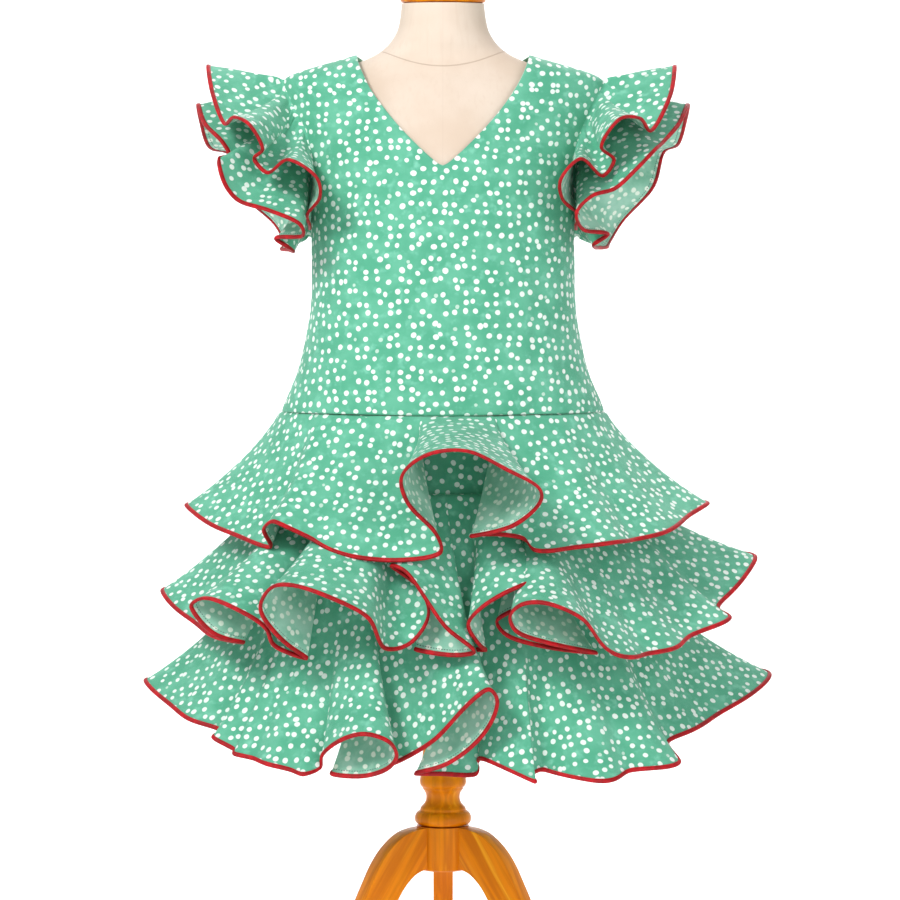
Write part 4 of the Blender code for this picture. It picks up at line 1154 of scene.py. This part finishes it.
RIGHT_UPPER = (
    (-143, -0.038, -0.078, 0.132), (-133, -0.066, -0.077, 0.134), (-122, -0.090, -0.066, 0.142),
    (-112, -0.112, -0.020, 0.169), (-90, -0.088, 0.006, 0.199), (-68, -0.112, 0.042, 0.205),
    (-42, -0.074, 0.054, 0.226), (-19, -0.042, 0.084, 0.234), (0, 0.000, 0.089, 0.234),
    (14, 0.045, 0.052, 0.225), (27, 0.076, 0.014, 0.203), (35, 0.104, 0.023, 0.190),
    (46, 0.122, 0.020, 0.169), (56, 0.110, -0.005, 0.152), (63, 0.090, -0.016, 0.166),
    (71, 0.096, -0.032, 0.155), (83, 0.124, -0.018, 0.131), (98, 0.130, -0.038, 0.112),
    (110, 0.112, -0.055, 0.114), (121, 0.086, -0.068, 0.131), (132, 0.062, -0.077, 0.130),
    (143, 0.038, -0.079, 0.1315),
)
RIGHT_LOWER = (
    (0, 0.000, 0.050, 0.247), (12, 0.040, 0.025, 0.234), (24, 0.068, 0.004, 0.216),
    (36, 0.092, -0.007, 0.205), (50, 0.104, -0.025, 0.188), (64, 0.102, -0.045, 0.166),
    (78, 0.112, -0.053, 0.143), (92, 0.116, -0.069, 0.128), (104, 0.098, -0.084, 0.135),
    (114, 0.080, -0.087, 0.161), (125, 0.074, -0.096, 0.148), (140, 0.052, -0.098, 0.150),
    (160, 0.028, -0.096, 0.154), (184, -0.010, -0.092, 0.166), (211, -0.060, -0.082, 0.172),
    (232, -0.100, -0.055, 0.189), (254, -0.076, -0.024, 0.218), (281, -0.104, 0.015, 0.231),
    (309, -0.068, 0.019, 0.243), (337, -0.038, 0.040, 0.248),
)
FRILLS = (
    ("sleeve_left_upper", LEFT_UPPER, -1, 0),
    ("sleeve_left_lower", LEFT_LOWER, -1, 1),
    ("sleeve_right_upper", RIGHT_UPPER, 1, 0),
    ("sleeve_right_lower", RIGHT_LOWER, 1, 1),
)
print("turns in the frills' hems:", [len(table) for _, table, _, _ in FRILLS])

# %% Where a frill is sewn on
FRILL_GAP = 0.0009        # between the armhole edge of the bodice and the frill
LAYER_GAP = 0.0028        # the lower frill is sewn farther out than the upper one
LAYER_INSET = 0.0024      # and nearer to the armhole's middle
FRILL_COLUMNS = 192


def armhole_point(side, layer, bearing, under=0.0):
    """A point of the armhole seam, or one that lies this many degrees under the bodice."""
    share = (1 + math.cos(math.radians(bearing))) / 2
    turn = armhole_turn(share) + under
    front = math.sin(math.radians(bearing)) >= 0
    height = UNDERARM + (SHOULDER_END - UNDERARM) * share
    if under:
        inner = figure_point(turn if front else -turn, height, 0.0013 + 0.0006 * layer)
        return np.array([side * inner[0], inner[1], inner[2]])
    edge = figure_point(turn if front else -turn, height)
    inset = np.array([0.0, edge[1], edge[2] - ARMHOLE_MIDDLE])
    inset *= LAYER_INSET * layer / np.linalg.norm(inset)
    return np.array([side * (edge[0] + FRILL_GAP + LAYER_GAP * layer), *(edge - inset)[1:]])


def hem_of_frill(turns, side):
    """Rows (bearing, x, y, z) along a frill's hem."""
    closed = turns[0].seam == 0
    points = np.array([(side * t.out, -t.front, ARMHOLE_MIDDLE + t.up) for t in turns])
    curve = spline(points, closed)
    places = spaced(curve, FRILL_COLUMNS)
    index = np.arange(len(curve))
    bearings = [t.seam for t in turns] + [360] * closed
    rising = np.interp(places, np.linspace(0, index[-1], len(bearings)), bearings)
    return np.column_stack([rising] + [np.interp(places, index, axis) for axis in curve.T])


# %% Sew and bind the shoulder frills
for name, table, side, layer in FRILLS:
    turns = [Turn(*row) for row in table]
    hem = hem_of_frill(turns, side)
    closed = turns[0].seam == 0
    seams = [armhole_point(side, layer, bearing) for bearing in hem[:, 0]]
    middle = np.array([side * 0.145, 0.0, ARMHOLE_MIDDLE])
    places = frill_places(seams, hem, middle, 0.0024, 21)
    # The seam allowance is laid back under the bodice.
    places[:, 0] = [armhole_point(side, layer, bearing, 4.0) for bearing in hem[:, 0]]
    if closed:
        places[-1] = places[0]
    flat = unrolled(places[:, 1:] if side > 0 else places[::-1, 1:])
    flat = flat if side > 0 else flat[::-1]
    flat = with_allowance(flat) + (0.83 + 0.41 * layer, 0.29 * side)
    sew(name, places, hem, flat, (side * 0.13, 0.0, 0.86))
    bind(name, hem, frill_places(seams, hem, middle), closed)

# %% [markdown]
# ## The plain skirt
#
# The two lower flounces have to be sewn to something. A dressmaker cuts a plain flared skirt
# for that, which the flounces hide. It is a ring of cloth a little wider at the bottom.

# %% Plain skirt under the flounces
BASE_TOP, BASE_LOW = HIP_SEAM - HIP_DIP - 0.004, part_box("skirt_base")[0].z
BASE_COLUMNS, BASE_ROWS = 96, 12
base_places = np.array([[(
    (0.1560 + 0.0210 * v) * math.sin(bearing), -(0.1150 + 0.0250 * v) * math.cos(bearing),
    BASE_TOP + (BASE_LOW - BASE_TOP) * v) for v in np.linspace(0, 1, BASE_ROWS + 1)]
    for bearing in np.linspace(math.pi, 3 * math.pi, BASE_COLUMNS + 1)])
base_places[-1] = base_places[0]
base_map = unrolled(base_places)
skirt_base = grid_piece("plain_skirt_cloth", base_places, {"cloth": base_map, "edge": edge_map(base_places)},
                        cloth_sides, (0.0, 0.0, 0.6))
base_flat = (float(run_lengths(base_places[:, -1])[-1]), float(run_lengths(base_places[0])[-1]))
cloth_pieces.append((skirt_base, "skirt_base", base_flat, surface_area(base_places)))
print("plain skirt", [round(size, 3) for size in base_flat], "m")

# %% [markdown]
# ## The dress form
#
# A stuffed torso covered in linen, smaller than the bodice so that the cloth stays clear of
# it. Level rings of points are joined by smooth upright curves. The seams of the linen cover
# are finer than its faces, so its material draws them. The top is closed by a turned cap.

# %% Rings of the form
EASE = 0.0045             # between the form and the bodice
FORM_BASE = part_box("form_torso")[0].z
FORM_LEVELS = (FORM_BASE, 0.650, 0.700, 0.740, 0.780, 0.820, 0.870, 0.910, 0.945, 0.975,
               1.000, 1.018, 1.030, 1.040)
NeckSection = namedtuple("NeckSection", "height half_width front back")
NECK = (
    NeckSection(1.0480, 0.0810, 0.041, 0.045),
    NeckSection(1.0560, 0.0650, 0.041, 0.045),
    NeckSection(1.0650, 0.0545, 0.042, 0.047),
    NeckSection(1.0780, 0.0462, 0.041, 0.044),
    NeckSection(1.0920, 0.0428, 0.040, 0.041),
    NeckSection(1.1065, 0.0412, 0.040, 0.040),
)
TILT = math.tan(math.radians(8.0))    # how the top of the neck slopes down to the front
FORM_TURNS = np.linspace(0, 360, 97)


def torso_point(turn, height):
    ease = EASE + 0.34 * max(0.0, 0.735 - height)
    drop = 0.009 * min(1.0, max(0.0, (height - 0.95) / 0.07))
    return figure_point(turn, height, ease) - (0, 0, drop)


def neck_point(turn, section):
    s, c = sine_cosine(turn)
    y = -s * (section.front if s > 0 else section.back)
    share = (section.height - NECK[0].height) / (NECK[-1].height - NECK[0].height)
    return np.array([section.half_width * c, y, section.height + y * TILT * share])


def upright(turn):
    """The form's outline at one turn, from the base up."""
    rings = [torso_point(turn, height) for height in FORM_LEVELS]
    rings += [neck_point(turn, section) for section in NECK]
    return spline(rings, closed=False, steps=6)


form_places = np.array([upright(turn) for turn in FORM_TURNS])
print("the form is", round(form_places[..., 0].max() * 2, 3), "m wide under the bodice")

# %% Cover the form
base_ring, top_ring = form_places[:, :1], form_places[:, -1:]
hub_low, hub_high = (ring.mean(axis=0, keepdims=True) for ring in (base_ring, top_ring))
form_places = np.concatenate(
    [hub_low + (base_ring - hub_low) * share for share in (0.0, 0.5, 0.97)] + [form_places]
    + [hub_high + (top_ring - hub_high) * share for share in (0.98, 0.5, 0.0)], axis=1)
form_places[-1] = form_places[0]
form_torso = grid_piece("form_linen_cover", form_places, {}, [form_linen], (0.0, 0.0, 0.8), wall=None)

# %% Turned cap on the neck
CAP_PROFILE = ((0.94, 0.0004), (1.005, 0.0008), (1.035, 0.0024), (1.050, 0.0050), (1.052, 0.0068),
               (1.036, 0.0092), (1.016, 0.0104), (1.020, 0.0110), (0.985, 0.0128), (0.90, 0.0150),
               (0.75, 0.0172), (0.55, 0.0190), (0.25, 0.0203), (0.0, 0.0206))
NECK_TOP = 1.1065


def cap_point(turn, scale, lift):
    s, c = sine_cosine(turn)
    y = -s * NECK[-1].front * scale
    return NECK[-1].half_width * scale * c, y, NECK_TOP + y * TILT + lift


cap_places = np.array([[cap_point(turn, *step) for step in ((0.0, 0.0004), *CAP_PROFILE)]
                       for turn in FORM_TURNS])
cap_places[-1] = cap_places[0]
neck_cap = grid_piece("turned_neck_cap", cap_places, {}, [varnished_wood], (0.0, 0.0, 1.115), wall=None)
print("the cap's top is at", round(float(cap_places[..., 2].max()), 4), "m")

# %% [markdown]
# ## The stand
#
# The column and its hub are turned on a lathe: half an outline, spun about the upright axis.
# The beads and coves are softened by cutting each corner of the outline twice, as a turner's
# sandpaper would. A leg is sawn from a board to a curved outline, and its edges are rounded.

# %% Turn the column and the hub
COLUMN_PROFILE = (
    (0.0190, 0.2854), (0.0262, 0.2866), (0.0284, 0.2900), (0.0284, 0.2945), (0.0262, 0.2985),
    (0.0232, 0.3000), (0.0228, 0.3012), (0.0228, 0.3030), (0.0180, 0.3075), (0.0166, 0.3130),
    (0.0176, 0.3180), (0.0206, 0.3220), (0.0208, 0.3235), (0.0230, 0.3255), (0.0234, 0.3300),
    (0.0225, 0.3345), (0.0200, 0.3600), (0.0180, 0.4200), (0.0175, 0.5997),
)
HUB_PROFILE = ((0.0225, 0.2414), (0.0262, 0.2440), (0.0262, 0.2851))


def softened(profile, times=2):
    points = [np.array(point) for point in profile]
    for _ in range(times):
        cut = [points[0]]
        for first, second in zip(points, points[1:]):
            cut += [first * 0.75 + second * 0.25, first * 0.25 + second * 0.75]
        points = cut + [points[-1]]
    return points


def wooden(bm, name, finish):
    bmesh.ops.recalc_face_normals(bm, faces=bm.faces)
    for face in bm.faces:
        face.smooth = True
    mesh = bpy.data.meshes.new(name)
    bm.to_mesh(mesh)
    bm.free()
    mesh.set_sharp_from_angle(angle=math.radians(42))
    mesh.materials.append(finish)
    made = bpy.data.objects.new(name, mesh)
    bpy.context.scene.collection.objects.link(made)
    return made


def turned(name, profile):
    bm = bmesh.new()
    outline = [(0.0, profile[0][1]), *softened(profile), (0.0, profile[-1][1])]
    verts = [bm.verts.new((radius, 0.0, height)) for radius, height in outline]
    edges = [bm.edges.new(pair) for pair in zip(verts, verts[1:])]
    bmesh.ops.spin(bm, geom=verts + edges, cent=(0, 0, 0), axis=(0, 0, 1), angle=2 * math.pi,
                   steps=72, use_merge=True)
    bmesh.ops.remove_doubles(bm, verts=bm.verts, dist=1e-6)
    return wooden(bm, name, varnished_wood)


stand_column = turned("turned_column", COLUMN_PROFILE)
stand_hub = turned("turned_hub", HUB_PROFILE)
print("column:", len(stand_column.data.polygons), "faces")

# %% Saw the legs
LEG_WIDTH = 0.020
LEG_UPPER = (
    (0.0189, 0.2848), (0.0330, 0.2838), (0.0480, 0.2795), (0.0650, 0.2665), (0.0770, 0.2510),
    (0.0855, 0.2350), (0.0965, 0.2120), (0.1090, 0.1740), (0.1240, 0.1340), (0.1460, 0.0960),
    (0.1780, 0.0620), (0.2160, 0.0390), (0.2480, 0.0290), (0.2660, 0.0220), (0.2720, 0.0100),
    (0.2700, 0.0000),
)
LEG_LOWER = (
    (0.2340, 0.0000), (0.2220, 0.0060), (0.1960, 0.0170), (0.1600, 0.0360), (0.1280, 0.0640),
    (0.1040, 0.0980), (0.0880, 0.1360), (0.0740, 0.1760), (0.0610, 0.2080), (0.0480, 0.2290),
    (0.0340, 0.2410), (0.0189, 0.2450),
)
LEG_ROUNDING = 0.0032
GRAIN = 34.0              # degrees between the board's grain and the upright


def smooth_outline(table):
    points = spline([(radius, 0.0, height) for radius, height in table], closed=False, steps=4)
    return [(radius, max(height, 0.0)) for radius, _, height in points]


def make_leg(name, bearing):
    bm = bmesh.new()
    outline = [bm.verts.new((radius, -LEG_WIDTH / 2, height))
               for radius, height in smooth_outline(LEG_UPPER) + smooth_outline(LEG_LOWER)]
    board = bm.faces.new(outline)
    moved = bmesh.ops.extrude_face_region(bm, geom=[board])["geom"]
    verts = [item for item in moved if isinstance(item, bmesh.types.BMVert)]
    bmesh.ops.translate(bm, verts=verts, vec=(0, LEG_WIDTH, 0))
    bmesh.ops.recalc_face_normals(bm, faces=bm.faces)
    arrises = [edge for edge in bm.edges
               if abs(edge.verts[0].co.y - edge.verts[1].co.y) < 1e-6
               and min(v.co.z for v in edge.verts) > 1e-4
               and max(v.co.x for v in edge.verts) > LEG_UPPER[0][0] + 1e-4]
    bmesh.ops.bevel(bm, geom=arrises, offset=LEG_ROUNDING, offset_type="OFFSET", segments=3,
                    profile=0.5, affect="EDGES", clamp_overlap=True, material=-1)
    bmesh.ops.transform(bm, matrix=Matrix.Rotation(math.radians(bearing - 90), 4, "Z"), verts=bm.verts)
    upright_grain = (Matrix.Rotation(math.radians(GRAIN), 3, "Y")
                     @ Matrix.Rotation(math.radians(90 - bearing), 3, "Z")).to_euler()
    return wooden(bm, name, wood_finish(name + "_wood", tuple(upright_grain)))


legs = [(make_leg("sawn_" + node, bearing), node)
        for node, bearing in (("leg_front_left", -60.0), ("leg_front_right", 60.0), ("leg_back", 180.0))]
print("a leg has", len(legs[0][0].data.polygons), "faces")

# %% [markdown]
# ## The floor
#
# A wide pale sheet that lies flat under the stand and curves up behind it, so that no edge
# shows between floor and wall.

# %% Floor that curves up behind
FLOOR_HALF, CURVE_START, CURVE_RADIUS = 7.0, 2.2, 2.5


def floor_point(v):
    """Depth and height along the sheet: the floor, a quarter circle, then the wall."""
    run = -6.0 + v * 17.0
    arc = (run - CURVE_START) / CURVE_RADIUS
    if arc <= 0:
        return run, 0.0
    if arc < math.pi / 2:
        return CURVE_START + CURVE_RADIUS * math.sin(arc), CURVE_RADIUS * (1 - math.cos(arc))
    return CURVE_START + CURVE_RADIUS, CURVE_RADIUS * (1 + arc - math.pi / 2)


floor_tree = Tree("pale_floor", Specular_IOR_Level=0.2)
floor_place = floor_tree.node("ShaderNodeTexCoord", output=3)
floor_grain = floor_tree.noise(floor_place, 300.0, 3.0)
pale_floor = floor_tree.finish(colour(252, 252, 252), 0.8 + floor_grain * 0.1, floor_grain, 0.0001, 0.1)
floor_places = np.array([[(x, *floor_point(v)) for v in np.linspace(0, 1, 61)]
                         for x in np.linspace(-FLOOR_HALF, FLOOR_HALF, 9)])
floor = grid_piece("floor", floor_places, {}, [pale_floor], (0.0, 3.0, -9.0), wall=None, levels=0)

# %% [markdown]
# ## Handing the pieces over
#
# Each piece rides on the frame's one body and replaces the plain solid that it stands for.
# Each sheet of cloth says what it was cut to. A circular cut isn't a rectangle, so its area
# is given too.

# %% Tie each piece to the frame


def hand_over(piece, node):
    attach(piece, "root")
    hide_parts(node)


PANEL_CUT = {"bodice_front": (0.400, 0.372), "bodice_back_left": (0.205, 0.372),
             "bodice_back_right": (0.205, 0.372)}
cloth_pieces += [(panel, node, PANEL_CUT[node], area)
                 for panel, node, area in [(bodice_front, "bodice_front", front_area), *back_panels]]
for piece, node, _, _ in cloth_pieces:
    hand_over(piece, node)
for piece, node in bindings:
    hand_over(piece, node)
hand_over(form_torso, "form_torso")
for piece, node in [(neck_cap, "form_neck_cap"), (stand_column, "stand_column"),
                    (stand_hub, "stand_hub"), *legs]:
    hand_over(piece, node)
print(len(cloth_pieces), "cloth pieces and", len(bindings), "bindings")

for piece, node, flat, area in cloth_pieces:
    share = area / (flat[0] * flat[1])
    print(piece.name, [round(size, 3) for size in flat], "area", round(area, 4), "share", round(share, 2))

# %% Finish: bring the scene up to date
bpy.context.view_layer.update()
